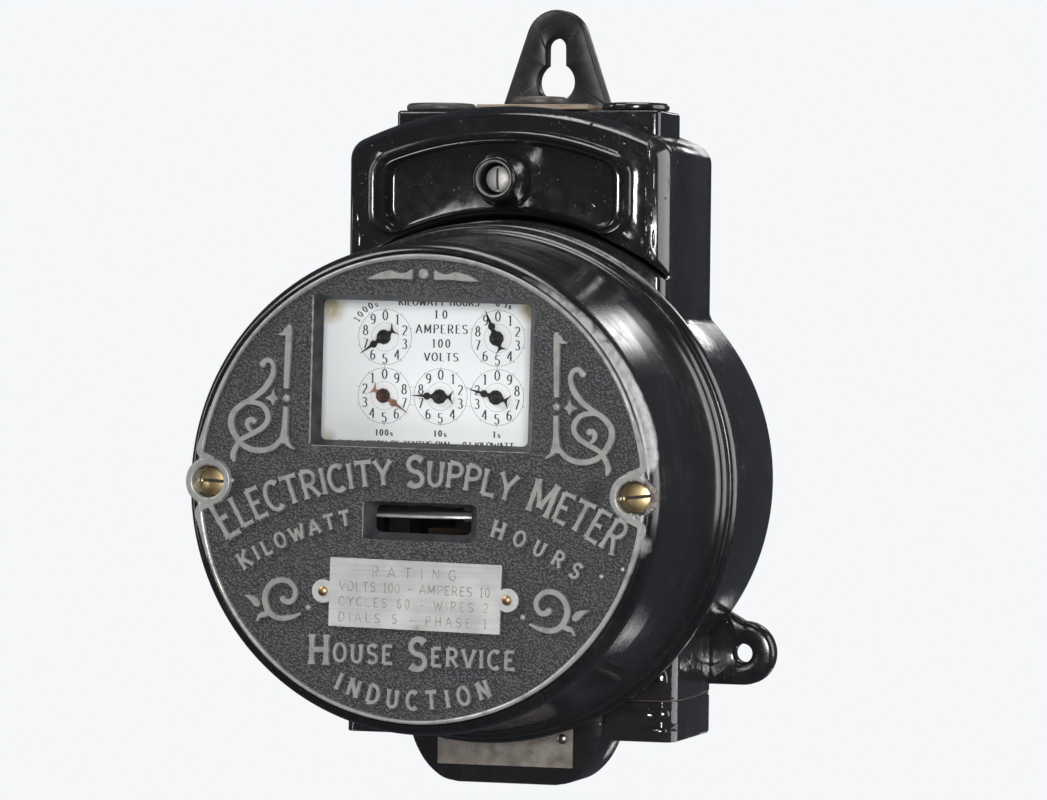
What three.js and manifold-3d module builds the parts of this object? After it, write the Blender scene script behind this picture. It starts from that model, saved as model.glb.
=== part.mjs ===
// Round-pattern induction watt-hour meter with a five-dial register, millimetres, +Z up.
// The origin is where the drum's axis meets the wall: X to the right, -Y towards the reader.
import * as THREE from 'three';
import * as BufferGeometryUtils from 'three/addons/utils/BufferGeometryUtils.js';
import Module from 'manifold-3d';

const wasm = await Module();
wasm.setup();

// ---- driving dimensions ---------------------------------------------------

const GAP = 0.3; // clearance between pieces that touch
const COVER_TURN = THREE.MathUtils.degToRad(0.9); // the drum cover sits turned a little clockwise

// back case
const CASE_R = 87;
const CASE_WALL = 4.6;
const CASE_FLOOR = 4;
const CASE_FRONT = -81; // rim of the round tub
const BACK_CHAMFER = 4.5;
const LUG_THICK = 7;
const LUG_TOP_R = 12;
const LUG_TOP_Z = 166.3;
const LUG_FOOT = 21.6; // half width where the lug leaves the box
const LUG_FOOT_Z = 139.7;
const KEYHOLE_R = 7.4;
const KEYHOLE_Z = 150.6;
const KEYHOLE_SLOT = 3.85; // half width
const KEYHOLE_SLOT_Z = 163.7;
const EAR_X = 76.4;
const EAR_Z = -65.3;
const EAR_R = 12;
const EAR_HOLE_R = 3.6;

// terminal box above the tub, and its cover
const BOX_HALF = 61.5;
const BOX_FRONT = -61.5;
const BOX_WALL = 4;
const BOX_FOOT = 20; // inside the tub, which the box's sides run into
const ARCH_R = 138.6; // the box's top is an arc about the drum's axis
const ARCH_CORNER = 8;
const LEDGE_HALF = 51.6;
const LEDGE_TOP = 138.3;
const LEDGE_BACK = -13;
const LEDGE_FRONT = -44;
const WIRE_Y = -28.5;
const WIRE_HOLE_R = 6.5;
const WIRE_X = [-38.5, 0, 38];
const COVER_FACE = -70; // sunk panel of the terminal cover
const COVER_RIDGE = -75;
const COVER_BOSS_FRONT = -85;
const BOSS_Z = 111.4;
const PANEL_HALF = 43.5;
const RIDGE_HALF = 51.5;

// lower chamber and its cap
const LOWER_HALF = 64.5;
const LOWER_FRONT = -60;
const LOWER_BACK = -8;
const LOWER_SEAM = -80;
const LOWER_BOTTOM = -95.5;
const BOWL_FRONT = -61.5;
const BOWL_BACK = -33;
const BOWL_BOTTOM = -112.8;
const CAP_SCREW_X = 55;
const CAP_SCREW_Y = -34;

// drum cover and the front plate let into it
const RIM_R = 82.5;
const FACE = -170.4; // front of the rim ring
const GROUND = -169.2; // grained ground of the plate
const PLATE_BACK = -164.7;
const SCREW_X = 78.3; // cover screws, on the drum's level diameter
const BOSS_R = 8.2;
const BORE_R = 5.7;
const WINDOW = { half: 40.9, low: 14.3, high: 67.5 };
const WINDOW_BACK = { half: 38.2, low: 16.1, high: 65.7 };
const SLOT = { x: 0.8, half: 21, low: -18.1, high: -4.7 };
const SLOT_BACK = { x: 0.8, half: 17.5, low: -16, high: -6.2 };

// register
const DIAL_FRONT = -145.2;
const ARBOR_R = 1;
const DIAL_X = 21;
const DIAL_HIGH = 53.1;
const DIAL_LOW = 32.2;
const GEAR_TEETH = 60;
const PINION_LEAVES = 6;
const GEAR_PITCH_R = 19.08;
const PINION_PITCH_R = 1.91;
const TOOTH = 0.42; // tooth height above and below the pitch circle
const GEAR_PLANES = [-139.5, -136.5, -133.5, -130.5];
const DRIVE_PLANE = -122;

// rotor
const ROTOR_Y = -100;
const DISC_R = 54;
const DISC_Z = -10.3;
const WORM_R = 4;
const WORM_Z = 32.2;
const WORM_WHEEL_R = 15;
const WORM_WHEEL_TEETH = 50;
const WORM_WHEEL_X = WORM_WHEEL_R + WORM_R + GAP;

// ---- helpers ----------------------------------------------------------------

// A closed geometry, stripped to its positions, becomes a solid that can be cut and joined.
function solid(geometry) {
  let g = geometry.clone();
  g.deleteAttribute('normal');
  g.deleteAttribute('uv');
  g = BufferGeometryUtils.mergeVertices(g, 1e-4);
  const triVerts = new Uint32Array(g.index.array);
  const p = g.attributes.position;
  let volume = 0;
  for (let i = 0; i < triVerts.length; i += 3) {
    const [a, b, c] = [0, 1, 2].map((k) => new THREE.Vector3().fromBufferAttribute(p, triVerts[i + k]));
    volume += a.dot(b.cross(c));
  }
  if (volume < 0) {
    for (let i = 0; i < triVerts.length; i += 3) {
      [triVerts[i], triVerts[i + 1]] = [triVerts[i + 1], triVerts[i]];
    }
  }
  const vertProperties = new Float32Array(p.array);
  return new wasm.Manifold(new wasm.Mesh({ numProp: 3, vertProperties, triVerts }));
}

function toGeometry(body) {
  const mesh = body.getMesh();
  const g = new THREE.BufferGeometry();
  g.setAttribute('position', new THREE.BufferAttribute(new Float32Array(mesh.vertProperties), 3));
  g.setIndex(new THREE.BufferAttribute(new Uint32Array(mesh.triVerts), 1));
  return g;
}

const join = (first, ...rest) => rest.reduce((all, next) => all.add(next), first);
const cut = (body, ...tools) => tools.reduce((left, tool) => left.subtract(tool), body);

// a block between two corners
function block(x0, x1, y0, y1, z0, z1) {
  const g = new THREE.BoxGeometry(Math.abs(x1 - x0), Math.abs(y1 - y0), Math.abs(z1 - z0));
  return solid(g.translate((x0 + x1) / 2, (y0 + y1) / 2, (z0 + z1) / 2));
}

// a cylinder or cone along Y, from y0 (radius r0) to y1 (radius r1)
function rodY(x, z, y0, y1, r0, r1 = r0, sides = 20) {
  const [top, bottom] = y1 > y0 ? [r1, r0] : [r0, r1];
  const g = new THREE.CylinderGeometry(top, bottom, Math.abs(y1 - y0), sides);
  return solid(g.translate(x, (y0 + y1) / 2, z));
}

// a cylinder or cone along Z, from z0 (radius r0) up to z1 (radius r1)
function rodZ(x, y, z0, z1, r0, r1 = r0, sides = 20) {
  const g = new THREE.CylinderGeometry(r1, r0, z1 - z0, sides).rotateX(Math.PI / 2);
  return solid(g.translate(x, y, (z0 + z1) / 2));
}

// the outline's points, with those that fall on their neighbour left out, in the given sense
function outlinePoints(path, curveSegments, clockwise) {
  const points = path.getPoints(curveSegments);
  const kept = points.filter((p, i) => p.distanceTo(points[(i + points.length - 1) % points.length]) > 1e-3);
  return THREE.ShapeUtils.isClockWise(kept) === clockwise ? kept : kept.reverse();
}

// a shape drawn in X and Z, pushed from y0 towards the front to y1
function slab(shape, y0, y1, curveSegments = 16, bevel = null) {
  const depth = y0 - y1;
  const plain = new THREE.Shape(outlinePoints(shape, curveSegments, false));
  plain.holes = shape.holes.map((hole) => new THREE.Path(outlinePoints(hole, curveSegments, true)));
  const options = { depth, curveSegments, bevelEnabled: false };
  if (bevel) {
    Object.assign(options, {
      depth: depth - 2 * bevel.thick,
      bevelEnabled: true,
      bevelSize: bevel.size,
      bevelOffset: -bevel.size,
      bevelThickness: bevel.thick,
      bevelSegments: bevel.segments ?? 1,
    });
  }
  const g = new THREE.ExtrudeGeometry(plain, options).rotateX(Math.PI / 2);
  return solid(g.translate(0, y0 - (bevel ? bevel.thick : 0), 0));
}

// a profile of [radius, y] points turned about the drum's axis
function turned(points, sides = 44) {
  return solid(new THREE.LatheGeometry(points.map(([r, y]) => new THREE.Vector2(r, y)), sides));
}

// a four-sided opening that narrows from the front of the plate to its back
function taper(front, back, yFront, yBack) {
  const ring = (o, y) => [
    [(o.x ?? 0) - o.half, y, o.low],
    [(o.x ?? 0) + o.half, y, o.low],
    [(o.x ?? 0) + o.half, y, o.high],
    [(o.x ?? 0) - o.half, y, o.high],
  ];
  const g = new THREE.BufferGeometry();
  const points = [...ring(front, yFront), ...ring(back, yBack)].flat();
  g.setAttribute('position', new THREE.Float32BufferAttribute(points, 3));
  const sides = [0, 1, 2, 3].flatMap((i) => {
    const j = (i + 1) % 4;
    return [i, j, j + 4, i, j + 4, i + 4];
  });
  g.setIndex([...sides, 0, 2, 1, 0, 3, 2, 4, 5, 6, 4, 6, 7]);
  return solid(g);
}

function rectangle(x0, x1, z0, z1) {
  const s = new THREE.Shape();
  s.moveTo(x0, z0).lineTo(x1, z0).lineTo(x1, z1).lineTo(x0, z1);
  s.closePath();
  return s;
}

function circlePath(x, z, r) {
  return new THREE.Path().absarc(x, z, r, 0, Math.PI * 2, true);
}

// A panel with upright sides between two arcs about the drum's axis, its corners rounded.
function archShape(half, lowR, highR, corner) {
  const s = new THREE.Shape();
  const side = half - corner;
  const highZ = Math.sqrt((highR - corner) ** 2 - side ** 2);
  const lowZ = Math.sqrt((lowR + corner) ** 2 - side ** 2);
  const high = Math.atan2(highZ, side);
  const low = Math.atan2(lowZ, side);
  s.moveTo(half, lowZ);
  s.lineTo(half, highZ);
  s.absarc(side, highZ, corner, 0, high, false);
  s.absarc(0, 0, highR, high, Math.PI - high, false);
  s.absarc(-side, highZ, corner, Math.PI - high, Math.PI, false);
  s.lineTo(-half, lowZ);
  s.absarc(-side, lowZ, corner, Math.PI, Math.PI * 2 - low, false);
  s.absarc(0, 0, lowR, Math.PI - low, low, true);
  s.absarc(side, lowZ, corner, Math.PI + low, Math.PI * 2, false);
  s.closePath();
  return s;
}

// the same panel with a level foot in place of its lower arc
function boxShape(half, foot, highR, corner) {
  const s = new THREE.Shape();
  const side = half - corner;
  const highZ = Math.sqrt((highR - corner) ** 2 - side ** 2);
  const high = Math.atan2(highZ, side);
  s.moveTo(half, foot);
  s.lineTo(half, highZ);
  s.absarc(side, highZ, corner, 0, high, false);
  s.absarc(0, 0, highR, high, Math.PI - high, false);
  s.absarc(-side, highZ, corner, Math.PI - high, Math.PI, false);
  s.lineTo(-half, foot);
  s.closePath();
  return s;
}

// teeth as sharp points with V-shaped gaps; tooth 0 points along `phase`
function toothedShape(teeth, pitchR, tooth, phase) {
  const s = new THREE.Shape();
  const step = (Math.PI * 2) / teeth;
  const at = (r, a) => [r * Math.cos(a), r * Math.sin(a)];
  for (let i = 0; i < teeth; i += 1) {
    const a = phase + i * step;
    if (i === 0) s.moveTo(...at(pitchR + tooth, a));
    else s.lineTo(...at(pitchR + tooth, a));
    s.lineTo(...at(pitchR - tooth - 0.15, a + step / 2));
  }
  s.closePath();
  return s;
}

const root = new THREE.Group();
const coverGroup = new THREE.Group(); // everything that lifts off with the drum cover
coverGroup.rotation.y = COVER_TURN;
root.add(coverGroup);

function add(name, body, look, parent = root) {
  const material = new THREE.MeshStandardMaterial(look);
  const mesh = new THREE.Mesh(toGeometry(body), material);
  mesh.name = name;
  parent.add(mesh);
}

const JAPAN = { color: 0x17181b, roughness: 0.25, metalness: 0.1 };
const CASTING = { color: 0x4b4d50, roughness: 0.5, metalness: 0.8 };
const BRASS = { color: 0xb08a3e, roughness: 0.3, metalness: 1 };
const STEEL = { color: 0x9a9a98, roughness: 0.3, metalness: 1 };
const BLUED = { color: 0x1d1c1e, roughness: 0.4, metalness: 0.9 };
const NICKEL = { color: 0xa9a8a2, roughness: 0.35, metalness: 1 };
const GLASS = { color: 0xe8f0ee, roughness: 0.05, metalness: 0, transparent: true, opacity: 0.3 };
const PAPER = { color: 0xeceeee, roughness: 0.5, metalness: 0 };
const FIBRE = { color: 0x7a6652, roughness: 0.8, metalness: 0 };
const RUBBER = { color: 0x202020, roughness: 0.6, metalness: 0 };
const FELT = { color: 0x4a4a46, roughness: 0.95, metalness: 0 };
const WINDING = { color: 0x3f5a3a, roughness: 0.8, metalness: 0 };
const COPPER = { color: 0x9a5a35, roughness: 0.5, metalness: 0.8 };
const ALUMINIUM = { color: 0xc9cccd, roughness: 0.3, metalness: 1 };
const IRON = { color: 0x3c3e40, roughness: 0.6, metalness: 0.7 };
const SLATE = { color: 0x3a3d40, roughness: 0.7, metalness: 0 };

// a slotted screw along Y: domed head at the front, plain shank behind
function slottedScrew(x, z, headFront, headBack, headR, shankR, tip, slotWidth, slotAngle) {
  const dome = headFront + 1.3;
  const head = join(
    rodY(x, z, headBack, dome, headR, headR, 18),
    rodY(x, z, dome, headFront, headR, headR * 0.72, 18),
    rodY(x, z, headBack - 0.2, tip, shankR, shankR, 10),
  );
  const slot = new THREE.BoxGeometry(headR * 2.4, 2.8, slotWidth).rotateY(slotAngle);
  return head.subtract(solid(slot.translate(x, headFront, z)));
}

// ---- back case ---------------------------------------------------------------

function lugShape() {
  const s = new THREE.Shape();
  // the sides are tangents to the rounded top
  const reach = Math.hypot(LUG_FOOT, LUG_TOP_Z - LUG_FOOT_Z);
  const lean = Math.asin(LUG_TOP_R / reach) - Math.atan2(LUG_FOOT, LUG_TOP_Z - LUG_FOOT_Z);
  s.moveTo(-LUG_FOOT, LUG_FOOT_Z - 20);
  s.lineTo(LUG_FOOT, LUG_FOOT_Z - 20);
  s.lineTo(LUG_FOOT, LUG_FOOT_Z);
  s.absarc(0, LUG_TOP_Z, LUG_TOP_R, -lean, Math.PI + lean, false);
  s.lineTo(-LUG_FOOT, LUG_FOOT_Z);
  s.closePath();
  const hole = new THREE.Path();
  const spread = Math.asin(KEYHOLE_SLOT / KEYHOLE_R);
  hole.absarc(0, KEYHOLE_Z, KEYHOLE_R, Math.PI / 2 - spread, Math.PI / 2 + spread, true);
  hole.absarc(0, KEYHOLE_SLOT_Z, KEYHOLE_SLOT, Math.PI, 0, true);
  s.holes.push(hole);
  return s;
}

function earShape(side) {
  const s = new THREE.Shape();
  const low = EAR_Z - EAR_R;
  const x = (v) => side * v;
  s.moveTo(x(45), low);
  s.lineTo(x(EAR_X), low);
  s.absarc(x(EAR_X), EAR_Z, EAR_R, -Math.PI / 2, side > 0 ? Math.PI / 2 : -Math.PI * 1.5, side < 0);
  s.lineTo(x(66), EAR_Z + EAR_R + 6);
  s.lineTo(x(45), EAR_Z + EAR_R + 30);
  s.closePath();
  s.holes.push(circlePath(x(EAR_X), EAR_Z, EAR_HOLE_R));
  return s;
}

function backCase() {
  const inner = CASE_R - CASE_WALL;
  const tubOutside = turned([[0, 0], [CASE_R - BACK_CHAMFER, 0], [CASE_R, -BACK_CHAMFER], [CASE_R, CASE_FRONT], [0, CASE_FRONT]]);
  const boxOutside = slab(boxShape(BOX_HALF, BOX_FOOT, ARCH_R, ARCH_CORNER), 0, BOX_FRONT - 10, 8,
    { size: BACK_CHAMFER - 1, thick: BACK_CHAMFER, segments: 1 })
    .subtract(block(-90, 90, BOX_FRONT, -120, -20, 160));
  const ledge = block(-LEDGE_HALF, LEDGE_HALF, LEDGE_BACK, LEDGE_FRONT, 118, LEDGE_TOP);
  const lower = block(-LOWER_HALF, LOWER_HALF, LOWER_BACK, LOWER_FRONT, -46, LOWER_SEAM);
  const lug = slab(lugShape(), 0, -LUG_THICK, 10);
  const ears = [-1, 1].map((side) => slab(earShape(side), 0, -LUG_THICK, 10));
  // curved apron that fills the space between the tub and the low edge of the terminal cover
  const apron = slab(archShape(BOX_HALF, CASE_R - 2, 97.4 - 2 * GAP, 1.5), -58, COVER_FACE - 2, 8);
  const outside = join(tubOutside, boxOutside, ledge, lower, lug, apron, ...ears);

  const tubInside = turned([[0, -CASE_FLOOR], [inner, -CASE_FLOOR], [inner, CASE_FRONT - 1], [0, CASE_FRONT - 1]]);
  const boxInside = slab(archShape(BOX_HALF - BOX_WALL, CASE_R, ARCH_R - BOX_WALL, ARCH_CORNER - BOX_WALL),
    -CASE_FLOOR - 1, BOX_FRONT - 1, 6);
  const lowerInside = block(-LOWER_HALF + 4, LOWER_HALF - 4, LOWER_BACK - 4, LOWER_FRONT + 4, -60, LOWER_SEAM - 1)
    .subtract(tubOutside);
  const leadSlot = block(-20, 20, -30, -50, 78, 92); // for the leads between box and tub
  const wireHoles = WIRE_X.map((x) => rodZ(x, WIRE_Y, 120, 150, WIRE_HOLE_R, WIRE_HOLE_R, 16));
  const hollow = cut(outside, tubInside, boxInside, lowerInside, leadSlot, ...wireHoles);

  // threaded posts for the screws of the drum cover, the terminal cover and the lower cap
  const screwAt = [-1, 1].map((side) => new THREE.Vector3(side * SCREW_X, 0, 0).applyAxisAngle(new THREE.Vector3(0, 1, 0), COVER_TURN));
  const posts = screwAt.map((p) => rodY(p.x, p.z, CASE_FRONT + 2, -CASE_FLOOR, 6, 7, 20)
    .intersect(turned([[0, -1], [CASE_R - 1, -1], [CASE_R - 1, CASE_FRONT], [0, CASE_FRONT]])));
  const coverPost = rodY(0, BOSS_Z, -1, BOX_FRONT + 4, 7, 5.5, 20);
  const capPosts = [-1, 1].map((side) => block(side * (CAP_SCREW_X - 6), side * (LOWER_HALF - 1), -27, -41, -68, LOWER_SEAM));
  const tapped = screwAt.map((p) => rodY(p.x, p.z, CASE_FRONT - 1, -40, 2.9, 2.9, 16));
  const coverTapped = rodY(0, BOSS_Z, BOX_FRONT - 1, -30, 2.6, 2.6, 16);
  const capTapped = [-1, 1].map((side) => rodZ(side * CAP_SCREW_X, CAP_SCREW_Y, LOWER_SEAM - 1, -70, 2.6, 2.6, 16));
  return cut(join(hollow, ...posts, ...capPosts, coverPost), ...tapped, coverTapped, ...capTapped);
}

add('back_case', backCase(), JAPAN);

// ---- wire bushings on the ledge ------------------------------------------------

function bushing(x, flangeZ, flangeR, height) {
  const flange = rodZ(x, WIRE_Y, flangeZ, flangeZ + height, flangeR, flangeR - 0.6, 24);
  const neck = rodZ(x, WIRE_Y, 131, flangeZ + 0.5, WIRE_HOLE_R - GAP, WIRE_HOLE_R - GAP, 16);
  return cut(join(flange, neck), rodZ(x, WIRE_Y, 130, flangeZ + height + 1, 4.2, 4.2, 16));
}

const STRIP_TOP = LEDGE_TOP + GAP + 2;
add('left_wire_bushing', bushing(WIRE_X[0], LEDGE_TOP + GAP, 13.2, 2.8), RUBBER);
add('middle_wire_bushing', bushing(WIRE_X[1], STRIP_TOP + GAP, 10.8, 3), RUBBER);
add('right_wire_bushing', bushing(WIRE_X[2], LEDGE_TOP + GAP, 12.7, 2.8), RUBBER);
add('fibre_strip', cut(
  block(-20, 23.6, LEDGE_BACK - 1, LEDGE_FRONT, LEDGE_TOP + GAP, STRIP_TOP),
  rodZ(WIRE_X[1], WIRE_Y, 130, 150, WIRE_HOLE_R, WIRE_HOLE_R, 16),
), FIBRE);

// ---- terminal cover --------------------------------------------------------------

const terminalArch = (inset, corner) => archShape(BOX_HALF + 0.4 - inset, 97.4 + inset, ARCH_R + 0.2 - inset, corner);

function terminalCover() {
  const rimBack = BOX_FRONT - GAP;
  const shell = slab(terminalArch(0, ARCH_CORNER), rimBack + 6.2, COVER_FACE - 2.5, 6, { size: 2.4, thick: 6.2, segments: 1 })
    .subtract(block(-90, 90, 0, rimBack, 0, 200));
  const ridge = archShape(RIDGE_HALF, 99.6, 129.5, 9);
  const ridgeWall = slab(ridge, COVER_FACE + 1, COVER_RIDGE, 6, { size: 1.4, thick: 1.6, segments: 1 });
  const sunk = slab(archShape(PANEL_HALF, 101, 124.6, 6), COVER_FACE, COVER_RIDGE - 1, 6);
  const boss = rodY(0, BOSS_Z, COVER_FACE + 1, COVER_BOSS_FRONT, 9, 7.5, 32);
  const bore = rodY(0, BOSS_Z, -74, COVER_BOSS_FRONT - 1, 5.9, 5.9, 28);
  const hole = rodY(0, BOSS_Z, -60, COVER_BOSS_FRONT - 1, 2.7, 2.7, 16);
  const hollow = slab(terminalArch(4, 4), rimBack + 1, COVER_FACE + 3, 6);
  return cut(join(cut(join(shell, ridgeWall), sunk, hollow), boss), bore, hole);
}

add('terminal_cover', terminalCover(), JAPAN);
add('terminal_cover_screw', slottedScrew(0, BOSS_Z, -78.6, -74 - GAP, 4.3, 2.2, -44, 1, Math.PI / 2), STEEL);

// ---- terminals in the upper box ----------------------------------------------------

const TERMINAL_Z = 112;
const TERMINAL_X = [-38.5, 16, 38];
add('terminal_block', cut(
  block(-52, 52, -CASE_FLOOR - 1 - GAP, -22, 102, 121.5),
  rodY(0, BOSS_Z, 0, -30, 8, 8, 20),
), SLATE);
['left', 'middle', 'right'].forEach((side, i) => {
  const x = TERMINAL_X[i];
  const screwFront = -44;
  add(`${side}_terminal`, cut(
    block(x - 5, x + 5, -22 - GAP, -40, TERMINAL_Z - 9, TERMINAL_Z + 9),
    rodZ(x, -31, 90, 130, 2.6, 2.6, 16),
    rodY(x, TERMINAL_Z, -28, -41, 2.1, 2.1, 12),
  ), BRASS);
  add(`${side}_terminal_screw`, slottedScrew(x, TERMINAL_Z, screwFront, -40 - GAP, 3.2, 1.8, -34.2, 0.9, 0.4 + i), BRASS);
});

// ---- lower cap --------------------------------------------------------------------

function bowlShape(inset) {
  const s = new THREE.Shape();
  const half = 38 - inset;
  const low = BOWL_BOTTOM + inset;
  s.moveTo(-half, -90);
  s.bezierCurveTo(-half, -101, -29 + inset / 2, low, -18, low);
  s.lineTo(18, low);
  s.bezierCurveTo(29 - inset / 2, low, half, -101, half, -90);
  s.closePath();
  return s;
}

function lowerCap() {
  const top = LOWER_SEAM - GAP;
  const body = block(-LOWER_HALF, LOWER_HALF, LOWER_BACK, LOWER_FRONT, LOWER_BOTTOM, top);
  const bowl = slab(bowlShape(0), BOWL_BACK, BOWL_FRONT, 10);
  const inside = block(-48, 48, LOWER_BACK - 4, LOWER_FRONT + 4, LOWER_BOTTOM + 3.5, top + 1);
  const bowlInside = slab(bowlShape(4), BOWL_BACK - 4, BOWL_FRONT + 4, 10);
  const holes = [-1, 1].flatMap((side) => [
    rodZ(side * CAP_SCREW_X, CAP_SCREW_Y, -100, -70, 2.6, 2.6, 16),
    rodZ(side * CAP_SCREW_X, CAP_SCREW_Y, -100, LOWER_BOTTOM + 3, 5, 5, 24),
  ]);
  const tub = rodY(0, 0, 5, CASE_FRONT, CASE_R + GAP, CASE_R + GAP, 44);
  return cut(join(body, bowl), inside, bowlInside, tub, ...holes);
}

add('lower_cap', lowerCap(), JAPAN);
['left', 'right'].forEach((side, i) => {
  const x = (i ? 1 : -1) * CAP_SCREW_X;
  const seat = LOWER_BOTTOM + 3 - GAP;
  const screw = join(
    rodZ(x, CAP_SCREW_Y, seat - 3, seat, 4.4, 4.4, 18),
    rodZ(x, CAP_SCREW_Y, seat - 1, LOWER_SEAM + 9, 2.2, 2.2, 10),
  ).subtract(block(x - 6, x + 6, CAP_SCREW_Y - 0.5, CAP_SCREW_Y + 0.5, seat - 4, seat - 2));
  add(`${side}_cap_screw`, screw, STEEL);
});

// maker's number plate on the bowl, with its two pins
const NUMBER = { half: 26.2, low: -106, high: -91.5, pinX: 22.4, pinZ: -95.2 };
const numberBack = BOWL_FRONT - GAP;
add('number_plate', cut(
  block(-NUMBER.half, NUMBER.half, numberBack, numberBack - 1, NUMBER.low, NUMBER.high),
  ...[-1, 1].map((side) => rodY(side * NUMBER.pinX, NUMBER.pinZ, -50, -70, 1.2, 1.2, 12)),
), NICKEL);
['left', 'right'].forEach((side, i) => {
  const x = (i ? 1 : -1) * NUMBER.pinX;
  const front = numberBack - 1 - GAP;
  add(`number_plate_pin_${side}`, join(
    rodY(x, NUMBER.pinZ, front, front - 1.2, 2, 1.3, 12),
    rodY(x, NUMBER.pinZ, BOWL_FRONT - 0.1, front - 0.4, 0.9, 0.9, 8),
  ), STEEL);
});

// ---- drum cover, front plate and what they carry --------------------------------------

const DRUM_BACK = -83.4;
const DRUM_OUTSIDE = [
  [82.9, -168.6], [84.4, -168.4], [86.3, -165.6], [86.9, -162.6], [87.1, -150], [88.2, -122], [90.4, -101.6],
  [93.2, -97.6], [92.7, -94], [95, -91], [95.4, -88.6], [94.8, -85.2], [93, DRUM_BACK],
];
const DRUM_INSIDE = [[83.4, DRUM_BACK], [83.8, -150], [83.4, -158], [79.8, -161.2], [79.8, PLATE_BACK + GAP], [82.9, PLATE_BACK + GAP]];

function drumCover() {
  const shell = turned([...DRUM_OUTSIDE, ...DRUM_INSIDE, DRUM_OUTSIDE[0]]);
  const seat = PLATE_BACK + GAP;
  const pads = [-1, 1].map((side) => rodY(side * SCREW_X, 0, seat, -153, BOSS_R, BOSS_R, 24)
    .intersect(turned([[0, -152], [86.5, -152], [86.5, -165], [0, -165]])));
  const clears = [-1, 1].flatMap((side) => [
    rodY(side * SCREW_X, 0, seat - 0.001, FACE - 2, BOSS_R + GAP, BOSS_R + GAP, 24),
    rodY(side * SCREW_X, 0, -158.5, FACE, BORE_R, BORE_R, 24),
    rodY(side * SCREW_X, 0, -150, FACE, 3, 3, 16),
  ]);
  return cut(join(shell, ...pads), ...clears);
}

function frontPlate() {
  const disc = turned([[0, PLATE_BACK], [RIM_R, PLATE_BACK], [RIM_R, FACE], [RIM_R - 1.6, FACE], [RIM_R - 2, GROUND], [0, GROUND]]);
  const bosses = [-1, 1].map((side) => rodY(side * SCREW_X, 0, PLATE_BACK, FACE, BOSS_R, BOSS_R, 28));
  const bores = [-1, 1].map((side) => rodY(side * SCREW_X, 0, -150, FACE - 1, BORE_R, BORE_R, 28));
  const window = taper(grow(WINDOW, WINDOW_BACK), WINDOW_BACK, GROUND - 1, PLATE_BACK + 0.001);
  const slot = taper(grow(SLOT, SLOT_BACK), SLOT_BACK, GROUND - 1, PLATE_BACK + 0.001);
  const pinHoles = [-1, 1].map((side) => rodY(side * NAME.pinX, NAME.z, -150, FACE - 1, 1.3, 1.3, 12));
  return cut(join(disc, ...bosses), ...bores, window, slot, ...pinHoles);
}

// carry a bevelled opening 1 mm past the ground, so that the cut leaves no skin
function grow(front, back) {
  const k = (GROUND - 1 - PLATE_BACK) / (GROUND - PLATE_BACK);
  const along = (key) => back[key] + (front[key] - back[key]) * k;
  return { x: front.x ?? 0, half: along('half'), low: along('low'), high: along('high') };
}

const NAME = { half: 31.6, tall: 12.15, z: -37.3, pinX: 33.9, earR: 4.2 };

function namePlateShape() {
  const s = new THREE.Shape();
  const reach = Math.sqrt(NAME.earR ** 2 - (NAME.pinX - NAME.half) ** 2);
  const open = Math.atan2(reach, NAME.half - NAME.pinX);
  s.moveTo(-NAME.half, NAME.z - NAME.tall).lineTo(NAME.half, NAME.z - NAME.tall);
  s.absarc(NAME.pinX, NAME.z, NAME.earR, -open, open, false);
  s.lineTo(NAME.half, NAME.z + NAME.tall).lineTo(-NAME.half, NAME.z + NAME.tall);
  s.absarc(-NAME.pinX, NAME.z, NAME.earR, Math.PI - open, Math.PI + open, false);
  s.closePath();
  s.holes.push(circlePath(NAME.pinX, NAME.z, 1.4), circlePath(-NAME.pinX, NAME.z, 1.4));
  return s;
}

const glassBack = PLATE_BACK + GAP + 2;
add('drum_cover', drumCover(), JAPAN, coverGroup);
add('front_plate', frontPlate(), CASTING, coverGroup);
add('register_glass', block(-39.6, 39.6, PLATE_BACK + GAP, glassBack, 14.8, 67), GLASS, coverGroup);
add('disc_window_glass', block(-19.5, 21, PLATE_BACK + GAP, glassBack, -18, -4.2), GLASS, coverGroup);
function glassRetainer() {
  const s = rectangle(-38.4, 38.4, -20, 66.6);
  s.holes.push(rectangle(-37, 37, 17.5, 64.4), rectangle(-16, 17.5, -15, -7));
  return slab(s, glassBack + GAP + 0.8, glassBack + GAP);
}
add('glass_retainer', glassRetainer(), BRASS, coverGroup);
add('name_plate', slab(namePlateShape(), GROUND - GAP, GROUND - GAP - 1.2, 8), ALUMINIUM, coverGroup);
['left', 'right'].forEach((side, i) => {
  const x = (i ? 1 : -1) * NAME.pinX;
  const front = GROUND - 2 * GAP - 1.2;
  add(`name_plate_pin_${side}`, join(
    rodY(x, NAME.z, front, front - 1, 2, 1.3, 12),
    rodY(x, NAME.z, -166, front - 0.3, 1, 1, 8),
  ), BRASS, coverGroup);
});
['left', 'right'].forEach((side, i) => {
  const x = (i ? 1 : -1) * SCREW_X;
  add(`cover_screw_${side}`, slottedScrew(x, 0, -164, -158.5 - GAP, 5.35, 2.5, -62, 1.3, i ? -0.12 : 0.02), BRASS, coverGroup);
});
add('cover_gasket', turned([[83, -81.3], [86.4, -81.3], [86.4, DRUM_BACK + GAP], [83, DRUM_BACK + GAP], [83, -81.3]], 40), FELT);

// ---- register --------------------------------------------------------------------------

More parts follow.
